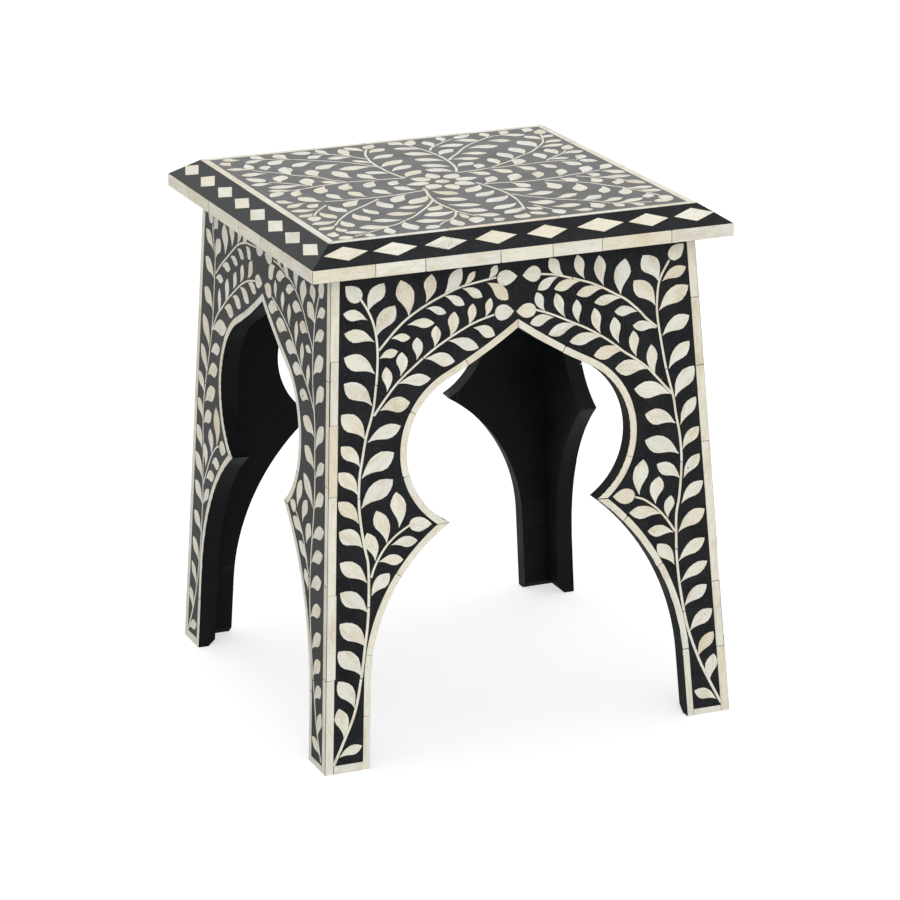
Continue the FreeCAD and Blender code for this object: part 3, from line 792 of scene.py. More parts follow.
def smooth_line(points, steps=4):
    """Given points with smooth in-between points, passing through each of them."""
    line = [points[0]]
    padded = [points[0] * 2 - points[1]] + points + [points[-1] * 2 - points[-2]]
    for before, start, end, after in zip(padded, padded[1:], padded[2:], padded[3:]):
        for step in range(1, steps + 1):
            t = step / steps
            line.append(0.5 * (2 * start + (end - before) * t
                               + (2 * before - 5 * start + 4 * end - after) * t * t
                               + (3 * start - before - 3 * end + after) * t ** 3))
    return line


def stem_piece(line, width, end_width):
    """Flat strip along a line, its width going evenly from one end to the other."""
    piece = bmesh.new()
    edge = None
    for index, place in enumerate(line):
        ahead = line[min(index + 1, len(line) - 1)] - line[max(index - 1, 0)]
        size = width + (end_width - width) * index / (len(line) - 1)
        side = Vector((-ahead.y, ahead.x)).normalized() * (size / 2)
        pair = [place + side, place - side]
        if edge is None:
            edge = piece.edges.new([piece.verts.new((p.x, p.y, 0)) for p in pair])
            continue
        grown = bmesh.ops.extrude_edge_only(piece, edges=[edge])["geom"]
        verts = [part for part in grown if isinstance(part, bmesh.types.BMVert)]
        edge = next(part for part in grown if isinstance(part, bmesh.types.BMEdge)
                    and all(vert in verts for vert in part.verts))
        previous = line[index - 1]
        for vert in verts:
            left = (Vector(vert.co[:2]) - previous).dot(side) > 0
            vert.co.xy = pair[0] if left else pair[1]
    return piece


def lay_stem(target, drawing, side, points, width):
    """Stem cut from a few butted strips of bone, each of its own tone."""
    line = smooth_line(points)
    start, length, pieces = 0, 0.0, []
    longest = draw.uniform(*STEM_LENGTH)
    for index in range(1, len(line)):
        length += (line[index] - line[index - 1]).length
        if length > longest and index < len(line) - 3:
            pieces.append((start, index))
            start, length, longest = index, 0.0, draw.uniform(*STEM_LENGTH)
    pieces.append((start, len(line) - 1))
    for first, last in pieces:
        run = [place.copy() for place in line[first:last + 1]]
        if first:
            run[0] += (run[1] - run[0]).normalized() * (0.5 * JOINT_GAP)
        slip = Vector((draw.uniform(*STEM_SLIP), draw.uniform(*STEM_SLIP)))
        run = [place + slip for place in run]
        sizes = [width * (1 - STEM_TAPER * index / len(line)) + 2 * GLUE_WIDTH for index in (first, last)]
        piece = stem_piece(run, *sizes)
        inlay(piece)
        lower(piece, draw.uniform(*STEM_SINK))
        way = run[-1] - run[0]
        heading = math.atan2(way.y, way.x)
        set_piece(target, piece, drawing, side, heading, draw.uniform(*STEM_TONE), rounding=0)


def stem_way(points, place):
    """Way that the nearest run of a stem grows."""
    runs = zip(points, points[1:])
    nearest = min(runs, key=lambda run: ((run[0] + run[1]) / 2 - place).length)
    return nearest[1] - nearest[0]


def lay_vines(stems, leaves, drawing, side, vines, width, jitter=0.0):
    """Stems and leaves of one part of a face."""
    for thickness, points, blades, tip in vines:
        line = [Vector(point) for point in points]
        lay_stem(stems, drawing, side, line, width * thickness)
        shapes = [(blade, LEAF_EDGE) for blade in blades] + [(blade, DROP_EDGE) for blade in tip]
        for (base_x, base_y, tip_x, tip_y, breadth, *shade), outline in shapes:
            base, end = Vector((base_x, base_y)), Vector((tip_x, tip_y))
            end += Vector((draw.uniform(-jitter, jitter), draw.uniform(-jitter, jitter)))
            heading = end - base
            way = stem_way(line, base)
            left = heading.x * way.y - heading.y * way.x > 0
            full_breadth = breadth * draw.uniform(*LEAF_BREADTH) + 2 * GLUE_WIDTH
            blade = leaf(base, end, full_breadth, outline, 1 if left else -1)
            inlay(blade)
            lower(blade, draw.uniform(*LEAF_SINK))
            set_piece(leaves, blade, drawing, side, math.atan2(heading.y, heading.x),
                      shade[0] if shade else None, rounding=0)


# Vines of the front's left half, read off the photograph: width share, points, leaves and end leaf.
LEFT_VINES = (
    (1.0, ((-182, 7), (-171, 29), (-160.5, 52), (-153.6, 81), (-149.2, 107), (-145.5, 130), (-143.5, 155),
           (-143, 180), (-145, 192), (-147.5, 210), (-149, 232), (-147.5, 255), (-144.5, 270),
           (-140, 290), (-134, 308), (-131, 322), (-128, 345), (-127, 365), (-129, 383), (-134, 397),
           (-141, 409)),
     ((-171.5, 31, -174.8, 58, 12), (-160.5, 56, -174.5, 82, 14), (-153, 83, -173.5, 108, 16),
      (-148, 108, -171, 132, 16), (-145, 138, -169.5, 159, 15), (-144.5, 164, -168.5, 185, 14),
      (-147, 195, -168, 212, 15), (-149.5, 216, -167.5, 238, 13), (-149.5, 241, -166, 263, 13),
      (-146.5, 265, -163, 285, 12), (-141, 288, -161.5, 312, 16), (-133.5, 316, -158, 338, 16),
      (-130, 343, -157, 360, 15), (-129, 370, -156, 380, 12), (-134.5, 389, -156, 397, 10),
      (-177, 14, -155, 22, 9), (-141.5, 152, -124, 170, 12), (-147.5, 229, -117.5, 251, 17),
      (-146, 255, -115.5, 274, 16), (-139.5, 285, -108.5, 296, 13), (-126, 355, -108.5, 360, 8),
      (-127.5, 374, -109.5, 399, 15, 0.97), (-134, 396, -118.5, 419, 14)),
     ((-140, 406, -153, 420, 14),)),
    (0.85, ((-132.5, 307), (-122, 320), (-110, 333), (-95, 345), (-78, 357), (-60, 367), (-40, 376),
            (-21, 381)),
     ((-120, 326, -120, 348, 9), (-107.5, 338, -105.5, 359, 10), (-92.5, 350, -91.5, 370, 10),
      (-76.5, 359, -74, 378, 9), (-62, 366, -57, 388, 10), (-45, 374, -40, 393, 8),
      (-30, 379, -24, 396, 7), (-127, 311, -99.5, 315, 14), (-110, 332, -80, 333, 11),
      (-85, 350.5, -58, 345, 12), (-64, 363.5, -36, 354, 11), (-41, 372, -21, 363, 10)),
     ((-21, 382, -3, 382, 14),)),
    (0.85, ((-126, 362), (-110, 378), (-97, 388), (-80, 397), (-65, 403), (-50, 408), (-30, 411),
            (-18, 412.5)),
     ((-98, 388, -104, 420, 16, 0.35), (-82.5, 398, -76, 422, 12, 0.2), (-67, 402, -49, 424, 12, 0.95),
      (-48, 409, -37, 420, 6), (-26, 412, -17, 423, 7), (-115, 371, -97, 370, 7),
      (-100, 381, -75, 380, 8.5), (-83, 393.5, -64, 387, 7), (-66, 402, -47.5, 392, 8),
      (-50, 406.5, -31, 397, 8), (-27, 409, -8, 392, 11)),
     ((-18, 411, 1, 411.5, 13),)),
    (0.85, ((-141, 168), (-137, 178), (-128, 192), (-117, 202), (-104, 209.5)),
     ((-136.5, 182, -143, 208, 12), (-125.5, 196, -134, 226, 14), (-114, 208, -115.5, 240, 14),
      (-134, 181, -111, 180, 10), (-122, 194, -97.5, 195, 10)),
     ((-105, 210, -84, 207.5, 13),)),
)

RIGHT_VINES = (
    (1.0, ((182, 8), (171, 30), (161, 52), (151, 82), (146, 110), (143.5, 130), (142, 150), (142, 165),
           (142.5, 185), (145.5, 200), (148, 222), (148.5, 240), (147, 258), (144, 275), (142, 290),
           (136, 315), (131, 345), (128.5, 365), (129, 380), (132, 395), (141, 410)),
     ((171.3, 29.4, 175.8, 54.5, 12), (160.2, 53.3, 176, 74.7, 12), (153, 77.8, 175.3, 95.6, 12.5),
      (148, 101, 170.6, 118.3, 12), (145, 123, 171.6, 139.5, 11), (143.5, 142.6, 169.5, 160.8, 12),
      (143.8, 168.9, 170, 187, 14), (147.3, 194, 168.8, 212.3, 12), (150, 216.4, 166, 237, 11),
      (149.5, 242, 165.8, 261.4, 11), (148, 264, 163.5, 288, 11), (143.3, 289, 162.3, 315.5, 15),
      (138, 315, 158.5, 337.6, 13), (132.6, 344.8, 158.9, 360, 14), (130, 367, 158.5, 386.4, 15),
      (133.3, 392, 156.8, 402.6, 11), (177.8, 11.7, 156, 22.8, 10), (139.8, 140, 123.5, 161.4, 12),
      (147, 217, 124.8, 232.6, 12), (146.3, 239, 114, 255, 16), (143.9, 266.4, 114.5, 278, 15),
      (139.5, 293, 105, 301.4, 15), (127, 372, 107, 396, 16), (130.5, 392.6, 116, 417, 17)),
     ((141, 411, 155, 423, 13),)),
    (0.85, ((141, 293), (134, 301), (128, 308), (118, 319), (107, 328), (97, 335), (85, 345), (75, 352),
            (62, 360), (50, 366), (38, 372), (27, 377), (16, 381)),
     ((125.5, 310.8, 122, 339, 10.5), (108.3, 329, 105.8, 352.9, 9.5), (92.4, 342.6, 88, 366.8, 10),
      (75.5, 353, 70, 376.6, 9.5), (55.8, 364.5, 54, 385.8, 8.5), (43.5, 370.8, 35, 393.3, 9),
      (25, 378.5, 17.4, 396, 8.5), (118.9, 317.6, 87.6, 321.4, 14), (97, 336.4, 68, 335, 12),
      (77, 350.8, 46, 349.5, 11), (54.3, 363.9, 26.8, 358, 10.5), (33.3, 372.3, 10.4, 369.5, 9.5)),
     ((16.8, 380.8, -1.8, 381.4, 13),)),
    (0.85, ((128, 353), (118, 362), (112, 369), (100, 380), (90, 386), (80, 392), (68, 398), (57, 402),
            (45, 406), (35, 409), (22, 411)),
     ((94.9, 384.8, 99.9, 416, 15), (79.5, 394, 75.5, 421.6, 11.5), (62, 402, 55.5, 424, 10),
      (42.6, 407.6, 29.9, 423.5, 11), (127.6, 352, 105, 357, 9.5), (110.8, 368.3, 88.3, 371, 9),
      (95.8, 382, 69.8, 380.8, 9), (79.5, 392.3, 53.6, 389.5, 9.5), (58.3, 400.8, 33.3, 396.4, 9.5),
      (38.3, 407, 18.3, 397.3, 9)),
     ((22.4, 412, 4.9, 411.4, 13),)),
    (0.85, ((141, 170), (134, 181), (125, 192), (113, 202), (103.5, 206)),
     ((139.8, 169.5, 114.5, 173.9, 10.5), (128.5, 187.6, 97.5, 192.6, 11.5),
      (134.6, 182.6, 137.8, 203.3, 9.5), (123, 197, 127, 221.5, 13), (107.6, 207, 112.6, 238.6, 15)),
     ((103.8, 207, 82.5, 208.9, 14),)),
)

# Vines of the left face, both halves.
LEFT_FACE_VINES = (
    (1.0, ((-181, 7), (-168, 32), (-158.5, 57), (-153, 82), (-149, 111), (-147, 139), (-147.5, 162),
           (-149, 197), (-151.5, 229.5), (-145, 262), (-137.5, 287), (-131, 317), (-129, 342),
           (-128, 362), (-128, 377), (-132.5, 389.5), (-137.5, 404.5)),
     ((-168.7, 32, -176.5, 52, 12), (-159, 57, -174, 78, 11), (-153.5, 82, -172.5, 102, 13),
      (-149.5, 112, -170.5, 128, 14), (-147.5, 139.5, -170, 157, 14), (-148.7, 163, -171, 184.5, 14),
      (-152, 191, -168.5, 211, 14), (-152, 219.5, -167, 237, 12), (-148.7, 244.5, -167, 262, 12),
      (-143.7, 264.5, -161, 289.5, 14), (-138, 289.5, -158, 318, 16), (-131, 327, -156, 343, 16),
      (-129.5, 356, -155, 371.5, 13), (-132.5, 381, -155, 397, 12), (-177.5, 11, -156, 21, 10),
      (-146, 139.5, -129.5, 159.5, 10), (-150, 216, -127.5, 231.5, 13), (-147.5, 237, -119, 256, 15),
      (-141, 264.5, -114, 277, 14), (-134, 287, -109, 297, 12), (-126, 376, -115, 396, 15),
      (-134, 399.5, -122.5, 412, 12)),
     ((-136, 407, -150, 416, 12),)),
    (0.85, ((-146, 159.5), (-137.5, 174.5), (-127.5, 189.5), (-115, 202), (-105, 207)),
     ((-141, 177, -145, 199.5, 13), (-126, 193, -131, 217, 14), (-111, 204.5, -116, 241, 17),
      (-124, 186, -103, 189.5, 11), (-139, 167, -116, 176, 11)),
     ((-104, 208, -86, 207, 13),)),
    (0.85, ((-134, 304.5), (-120, 324.5), (-107.5, 334.5), (-95, 344.5), (-82.5, 353), (-60, 367),
            (-40, 376), (-20, 381)),
     ((-115, 326, -114, 352, 9), (-97.5, 342, -92.5, 366, 11), (-77.5, 359.5, -71, 377, 10),
      (-59, 369.5, -52.5, 388, 10), (-40, 378, -29, 397, 11), (-130, 309.5, -92, 320, 15),
      (-100, 337, -74, 337, 12), (-79, 353, -55, 348, 11), (-60, 366, -34, 357, 11),
      (-39, 374.5, -16, 371, 9)),
     ((-20, 382, -1, 383, 12),)),
    (0.85, ((-126, 362), (-112.5, 373), (-97.5, 383), (-82.5, 393), (-67.5, 402), (-50, 408),
            (-32.5, 410), (-20, 411)),
     ((-126, 358, -104, 361, 8), (-109, 373, -85.5, 376, 9), (-87.5, 387, -66, 384, 8),
      (-70, 398, -50.5, 393, 8), (-47, 406, -33, 396.5, 10), (-101, 385, -106, 413, 16),
      (-83, 396, -88, 420, 14), (-69, 402, -62, 424, 12), (-56, 404.5, -46, 423, 12)),
     ((-20, 411, -1, 411, 12),)),
    (1.0, ((179, 8), (166, 34.5), (157, 64.5), (152, 82), (147, 102), (142, 127), (139, 149.5),
           (139, 174.5), (141, 199.5), (143, 224.5), (143, 247), (141, 267), (140, 287), (136, 307),
           (131, 327), (129, 344.5), (129, 362), (131, 382), (135, 397), (140, 408)),
     ((169, 27, 175.5, 51.5, 12), (159, 58, 174, 73, 12), (153.5, 77, 170, 96, 13),
      (148, 99.5, 169.5, 119.5, 13), (143, 127, 167, 142, 13), (140.5, 152, 166.5, 166, 13),
      (140, 174.5, 167.5, 189.5, 12), (141, 196, 169, 211, 12), (144, 223, 165, 241, 13),
      (144, 249.5, 164, 268, 11), (142.5, 274.5, 160, 299.5, 14), (139, 312, 157.5, 332, 14),
      (131, 336, 154, 357, 15), (131, 364.5, 154, 379, 11), (135, 386, 155, 398, 10),
      (177.5, 12, 155, 24, 10), (135.5, 148, 124.5, 165, 11), (141, 222, 115, 247, 14),
      (141, 256, 115, 271, 14), (139, 284.5, 109, 294.5, 14), (131, 379.5, 111, 394.5, 16),
      (127.5, 396, 119, 412, 14)),
     ((139, 407, 150, 419, 13),)),
    (0.85, ((135, 162), (127.5, 174.5), (119, 191), (105, 204.5), (99, 208)),
     ((132.5, 171, 108.5, 185, 11), (117, 192, 92, 201, 11), (127.5, 187, 135, 208, 13),
      (116, 203, 126, 226, 13), (102.5, 212, 111, 239.5, 13)),
     ((99.5, 210, 84, 212.5, 11),)),
    (0.85, ((137.5, 304.5), (122.5, 319.5), (105, 332), (90, 344.5), (70, 359.5), (45, 371), (22.5, 378)),
     ((122.5, 312, 99, 313, 11), (106, 329.5, 80, 331, 12), (90, 343, 61, 346, 13),
      (65, 357, 36, 358, 13), (41, 369.5, 15, 367, 12), (120, 321, 119, 343, 9),
      (104, 334.5, 102.5, 358, 9), (87.5, 349.5, 87.5, 373, 9), (70, 362, 67.5, 383, 9),
      (52.5, 371, 51, 389.5, 9), (35, 377, 31, 394.5, 8)),
     ((22.5, 379.5, 4, 383, 13),)),
    (0.85, ((129, 352), (126, 360), (115, 371), (102.5, 384.5), (90, 393), (75, 401), (57.5, 406),
            (40, 409), (25, 410)),
     ((126, 353, 110, 356, 7), (115, 368, 94, 371, 12), (99, 383, 75, 383, 11), (80, 397, 57.5, 392, 9),
      (57, 403, 32.5, 397.5, 10), (30, 406, 14, 392, 13), (101, 388, 102.5, 412, 16),
      (85, 398, 81, 420, 12), (68, 403, 50, 414, 9), (45, 408.5, 33, 421, 9)),
     ((22, 410, 2, 410, 12),)),
)

# Vines of the top's front left quarter.
TOP_LEFT_VINES = (
    (1.0, ((-25.5, -19.5), (-26.5, -29), (-30.6, -45.5), (-33.5, -65.5), (-33.8, -78), (-32, -93),
           (-30, -108), (-26, -120.5), (-21, -130.5)),
     ((-23, -32, -5, -53, 13), (-29, -57, -6, -75.5, 14), (-29.4, -83, -2.5, -97, 12),
      (-27.5, -104, -4.4, -117, 13), (-22, -124, -1, -136, 12), (-12, -143, -7.5, -155.5, 12),
      (-32, -46, -57, -69, 15), (-34.4, -82, -50.6, -98, 13), (-31, -107.4, -62, -112, 14),
      (-32, -114, -31, -136.5, 7)),
     ((-22, -134, -31, -154, 14),)),
    (0.9, ((-33.8, -63), (-40, -73), (-50, -87), (-60, -99), (-70, -110.5), (-80, -119), (-90, -128),
           (-100, -133), (-111, -139), (-121, -144), (-139, -153)),
     ((-47, -77, -72, -79, 12), (-62, -98, -89, -94, 14), (-81, -117, -108, -109, 12),
      (-99, -132, -126, -127, 14), (-122, -142, -143, -138, 10), (-84, -124, -84, -154, 14),
      (-102.5, -134, -107.5, -159, 10), (-122.5, -147.5, -127.5, -160, 9)),
     ((-141, -152, -155, -157, 12),)),
    (0.9, ((-31, -109), (-37.5, -123), (-45, -132), (-54, -139), (-61, -147)),
     ((-42.5, -130.5, -45.6, -158, 12), (-47, -132, -75.6, -127, 13)),
     ((-62, -147, -77, -155, 11),)),
    (1.0, ((-26, -27), (-45, -31), (-70, -34), (-95, -33), (-114, -30.5), (-120, -28)),
     ((-32, -24, -47.5, -4, 13), (-56, -29, -67.5, -5.5, 12), (-80, -29, -89, -4, 12),
      (-101.5, -29, -109, -4, 11), (-121, -29, -136, -5.5, 15), (-144, -23, -158, -10, 11),
      (-47, -34, -67.5, -58, 13), (-90, -35.5, -111, -55.5, 13), (-126, -34, -140, -45.5, 11),
      (-136, -27, -157, -38, 11)),
     ()),
    (0.9, ((-75, -40.5), (-82.5, -47), (-95, -58), (-107.5, -68), (-117.5, -78), (-129, -93),
           (-135, -102), (-141, -112)),
     ((-134, -97, -158, -100.5, 12), (-141, -112, -159, -121, 11), (-142, -118, -140, -136, 9),
      (-148, -131, -156, -148, 11), (-78, -45, -76, -76, 13), (-99, -65.5, -94, -91, 11),
      (-113, -79, -109, -109, 13), (-130, -98, -129, -123, 11)),
     ()),
    (0.9, ((-122.5, -41), (-132.5, -53), (-140, -63), (-145.6, -74)),
     ((-122.5, -44, -116, -73, 12), (-137, -62, -131, -90, 11), (-135, -52, -159, -50.5, 11),
      (-143, -64, -159, -73, 10)),
     ((-146, -75, -152, -92, 12),)),
)

# Vines of the top's front right quarter.
TOP_RIGHT_VINES = (
    (1.0, ((24, -19), (28, -35.5), (32, -53), (33.5, -73), (32, -93), (28, -113), (24, -128)),
     ((24, -28, 3, -50.5, 13), (28, -52, 4, -68, 13), (32, -74, 4, -90.5, 14),
      (28, -102, 0.5, -115.5, 13), (27, -118, 3, -134, 12), (20.5, -139, 7, -153, 14),
      (33, -49, 59, -65.5, 13), (37, -103, 59, -114, 15), (28, -119, 39, -133, 10)),
     ((24, -138, 37, -150.5, 10),)),
    (0.9, ((35.5, -70.5), (43, -83), (53, -94), (64, -105.5), (78, -115.5), (90.5, -125.5), (98, -135.5),
           (106, -140), (118, -145), (134, -148)),
     ((45.5, -78, 72, -79, 13), (62, -102, 88, -93, 11), (80.5, -118, 104, -107, 12),
      (94, -129, 117, -123, 10), (103, -139, 133, -132, 10), (48, -127, 75.5, -130.5, 13),
      (83, -128, 86, -150, 14), (99, -138, 105, -153, 10), (113, -145.5, 123, -157, 9)),
     ((135.5, -148, 155.5, -145.5, 11),)),
    (0.9, ((37, -115.5), (42, -128), (48, -140.5)),
     ((60.5, -145.5, 78, -150.5, 11),),
     ((48, -138, 48, -155.5, 12),)),
    (1.0, ((28, -27), (40.5, -29), (53, -32), (68, -34), (88, -33), (108, -29), (120.5, -27), (140.5, -23)),
     ((30.5, -25.5, 47, -4, 12), (52, -28, 69, -3, 13), (78, -28, 89, -4, 11), (99, -28, 112, -4, 11),
      (122, -25.5, 137, -3, 13), (140.5, -20.5, 158, -4, 12), (50.5, -34, 60.5, -55.5, 12),
      (94, -37, 108, -52, 13), (123, -30.5, 133, -42, 12), (139, -25.5, 158, -40.5, 13)),
     ()),
    (0.9, ((80.5, -38), (93, -45.5), (103, -54), (113, -63), (123, -78), (132, -90.5), (139, -105),
           (145, -118), (149, -132)),
     ((78, -44, 80.5, -72, 14), (102, -59, 93, -88, 14), (118, -78, 109, -103, 11),
      (132, -90.5, 123, -115.5, 12), (133, -93, 158, -98, 10), (141, -104, 158.5, -114, 11),
      (142, -117, 136, -134, 11)),
     ((147, -132, 155.5, -144, 12),)),
    (0.9, ((112, -34), (122, -42), (132, -50), (141, -59), (146, -69)),
     ((120.5, -45.5, 122, -65.5, 12), (129, -45.5, 158, -53, 11), (142, -58, 132, -78, 11)),
     ((145.5, -68, 157, -85.5, 12),)),
)

# Vines of the top's back left quarter.
TOP_BACK_LEFT_VINES = (
    (1.0, ((-26, 22), (-29, 36), (-31, 50), (-31.5, 63), (-32, 78), (-31, 94), (-29, 106), (-26, 120.5),
           (-21.5, 131.5), (-17.5, 140)),
     ((-20.6, 125, -1, 137, 12), (-27, 100, -2, 112, 13), (-31, 68, -2.7, 88.4, 13),
      (-28, 50, -2.7, 66, 12), (-25, 24, -2.7, 44.7, 13), (-32.7, 43, -51, 57, 12),
      (-36, 74, -68, 76.7, 15), (-31.6, 86, -45, 105, 8), (-22, 133, -34, 155.6, 11)),
     ((-17.5, 142, -5, 157, 11),)),
    (0.9, ((-33, 72), (-39, 84), (-47, 94), (-56, 104), (-66, 112), (-75, 119), (-84, 126), (-94, 133),
           (-106, 139), (-118, 142)),
     ((-93.5, 134.5, -100, 157, 13), (-97, 133, -118, 119.7, 14), (-114, 141, -135, 135, 11),
      (-112, 142, -122, 159, 11), (-78, 115, -102, 104, 12), (-60, 97, -86.5, 86, 14),
      (-134, 149, -150, 156, 11), (-148.7, 130, -152.7, 147, 11)),
     ()),
    (0.9, ((-31, 104), (-37, 115), (-44, 126), (-51, 133), (-60, 139), (-67, 147)),
     ((-40, 116.5, -63, 120.5, 12), (-39.4, 120.5, -38.6, 152.5, 11), (-60, 135, -78, 128, 12),
      (-53.4, 134.5, -60, 159, 9)),
     ((-67.5, 148, -86, 154, 13),)),
    (1.0, ((-26, 22), (-39, 24), (-50, 26), (-63, 27), (-78, 29), (-100, 27), (-113, 24), (-127, 20.5),
           (-140, 19.5)),
     ((-34.7, 17, -47, 1, 11), (-54, 23, -69, 1.7, 12), (-77.7, 25, -90, 1, 13), (-100, 24, -114, -1, 13),
      (-124, 21, -137, -1.7, 10), (-48.7, 28, -59, 54, 13), (-81, 28.5, -98, 41, 10),
      (-110, 27.5, -105.8, 58.7, 14), (-116, 36, -148, 38, 12), (-131, 23, -152, 27.5, 8.5)),
     ((-142, 19.5, -157, 4, 12),)),
    (0.9, ((-78, 31), (-88, 44), (-92.5, 55), (-100, 64), (-110, 72), (-116, 81.4), (-124, 91),
           (-132, 98), (-138, 108)),
     ((-68, 40, -74.5, 73.6, 14), (-92.8, 58.7, -91.7, 87, 13), (-112, 76, -109, 107, 14),
      (-126, 101, -122, 119, 11), (-130, 89, -154.5, 91, 13), (-139, 108, -158, 119.7, 10)),
     ((-138, 109.5, -135.5, 132, 9),)),
    (0.9, ((-114, 30), (-120, 39), (-127, 47), (-134, 53), (-140, 58)),
     ((-131, 52, -120, 77.5, 14), (-138.6, 51, -158, 53, 11)),
     ((-142, 61, -153.7, 81, 12),)),
)

# Vines of the top's back right quarter.
TOP_BACK_RIGHT_VINES = (
    (1.0, ((23.4, 24), (28, 36), (31, 50), (32.5, 63), (33, 75), (32.8, 88), (31.5, 100), (29.7, 113),
           (26.5, 123.6), (23, 136)),
     ((22, 26, 1.3, 44.7, 14), (26.6, 44, 4, 62, 12), (30.5, 68, 6.6, 85.3, 13), (30.5, 93, 6.6, 111, 14),
      (29, 119, 5, 133, 11), (20, 141, 9.4, 157, 13), (31.6, 41.6, 51, 53, 12), (36, 71, 63, 64, 11),
      (34, 90.8, 54, 109.5, 12)),
     ((23, 138, 33.6, 158, 11),)),
    (0.9, ((33, 111), (38, 120.5), (45, 128), (53, 134.5), (59, 140), (69, 146)),
     ((43.7, 120.5, 70.6, 122, 13), (40.6, 124, 41.4, 148.6, 11), (56.5, 140.5, 60, 159, 10),
      (65.6, 138.4, 89, 131, 12)),
     ((71, 147, 90.6, 157, 11),)),
    (0.9, ((34, 69), (42, 80), (50, 89), (59.4, 101.7), (67, 111), (78, 122), (87.5, 129), (97, 136),
           (106, 141), (115, 142)),
     ((52, 87, 76.6, 80.6, 12), (67, 105, 97, 103, 14), (93.7, 125, 115, 117, 12),
      (112.5, 141.6, 136.4, 133, 11), (100, 138.4, 102, 158, 10), (114, 142, 126, 158, 10),
      (138, 144, 149.5, 158, 12)),
     ()),
    (0.9, ((59, 28), (69, 34.5), (81, 42), (90.6, 50), (100, 58), (112.5, 67), (122, 77), (131, 88),
           (139, 100), (144.5, 114), (149, 129)),
     ((68, 34.5, 69.5, 61.4, 11), (88, 49, 85, 78, 13), (104.7, 62.7, 102.8, 92, 14),
      (125.8, 83, 119.5, 114, 15), (79, 26.7, 94.5, 47, 13), (131, 49, 130, 73.6, 12),
      (128, 80, 153, 84.5, 11), (138, 95, 158, 101.7, 11), (145, 114, 158.5, 123, 9),
      (142, 108.7, 132.5, 130, 11)),
     ((149, 130.6, 157, 149, 12),)),
    (1.0, ((23.4, 22), (40.6, 23), (53, 25.5), (67, 25), (81, 26), (97, 26), (112.5, 26.7), (128, 24),
           (139, 21.5)),
     ((31, 19, 47.7, 2.5, 12), (53, 20.8, 68, 1, 13), (78, 22, 90.6, 1, 12), (100, 21, 110, 1, 11),
      (121, 21, 134.4, 1.7, 13), (43.7, 28, 54, 44.7, 11), (113, 36, 115, 62.7, 12),
      (138, 22.8, 151, 39, 11)),
     ((140, 20.5, 154, 9, 12),)),
    (0.9, ((112.5, 30), (119, 37), (127, 43), (137.5, 52), (144.5, 61)),
     ((136, 48.6, 158.5, 52.5, 11), (116, 33, 136, 33, 9)),
     ((146, 62.7, 155.5, 80, 11),)),
)
TOP_QUARTERS = (TOP_LEFT_VINES, TOP_RIGHT_VINES, TOP_BACK_LEFT_VINES, TOP_BACK_RIGHT_VINES)
ROSETTE = (-1.0, -3.5)
PETALS = ((0, 12.5, 34, 13.5, DROP_EDGE), (45, 11.5, 31.5, 15.5, DROP_EDGE))


# Strips, slabs and diamonds

def strip(target, drawing, side, corners, heading, cuts, tone=None):
    """One butted strip from its four corners, a little uneven and now and then chipped at a corner."""
    piece = blank(*corners)
    thicken(piece, BONE_THICKNESS)
    along = Vector((math.cos(heading), math.sin(heading), 0))
    for face in piece.faces:
        if abs(face.normal.dot(along)) > 0.9:
            face.material_index = GLUED
    places = [Vector(corner) for corner in corners]
    for before, corner, after in zip(places[-1:] + places, places, places[1:] + places[:1]):
        if draw.random() < STRIP_CHIP_CHANCE:
            inward = (before - corner).normalized() + (after - corner).normalized()
            chip(piece, corner, inward.normalized(), draw.uniform(*STRIP_CHIP))
    lower(piece, draw.uniform(*STRIP_SINK))
    set_piece(target, piece, drawing, side, heading, tone, cuts)


def corner_strips(side, left_joints, right_joints, left_tones=(), right_tones=(), growth=()):
    """Bone strips up both edges of a face, with an open seam here and there at the corner."""
    shape = bmesh.new()
    for half, joints, tones in ((-1, left_joints, left_tones), (1, right_joints, right_tones)):
        places = [-OVERRUN] + list(joints) + [FACE_HEIGHT + OVERRUN]
        for index, (low, high) in enumerate(zip(places, places[1:])):
            low, high = low + draw.uniform(JOINT_GAP, WIDEST_GAP) / 2, high - JOINT_GAP / 2
            width = CORNER_STRIP_WIDTH + draw.uniform(*STRIP_SPREAD)
            if growth and half < 0:
                width += growth[index]
            tilt = draw.uniform(*STRIP_TILT)
            corners = [(half * (edge_at(low) - width), low),
                       (half * (edge_at(low) + CORNER_OVERRUN), low + tilt),
                       (half * (edge_at(high) + CORNER_OVERRUN), high + tilt),
                       (half * (edge_at(high) - width), high)]
            seam = max(SEAM_GAP, draw.uniform(-WIDEST_SEAM, WIDEST_SEAM))
            strip(shape, SIDE_DRAWING, side, corners, math.radians(90), mitres(seam) + SIDE_ENDS,
                  tones[index] if tones else None)
    keep("bone_corner_strips_" + SIDES[side], shape, BONE, "bone", "corner_strips_" + SIDES[side])


def foot_strips(side, heights):
    """Short strip across each foot."""
    shape = bmesh.new()
    for half, height in zip((-1, 1), heights):
        levels = (-OVERRUN, height)
        outer = [edge_at(level) - CORNER_STRIP_WIDTH - JOINT_GAP / 2 for level in levels]
        inner = [edge_at(level) - LEG_WIDTH + EDGING_WIDTH + JOINT_GAP / 2 for level in levels]
        corners = [(half * inner[0], -OVERRUN), (half * outer[0], -OVERRUN), (half * outer[1], height),
                   (half * inner[1], height)]
        strip(shape, SIDE_DRAWING, side, corners, 0.0, SIDE_ENDS)
    keep("bone_foot_strips_" + SIDES[side], shape, BONE, "bone", "foot_strips_" + SIDES[side])


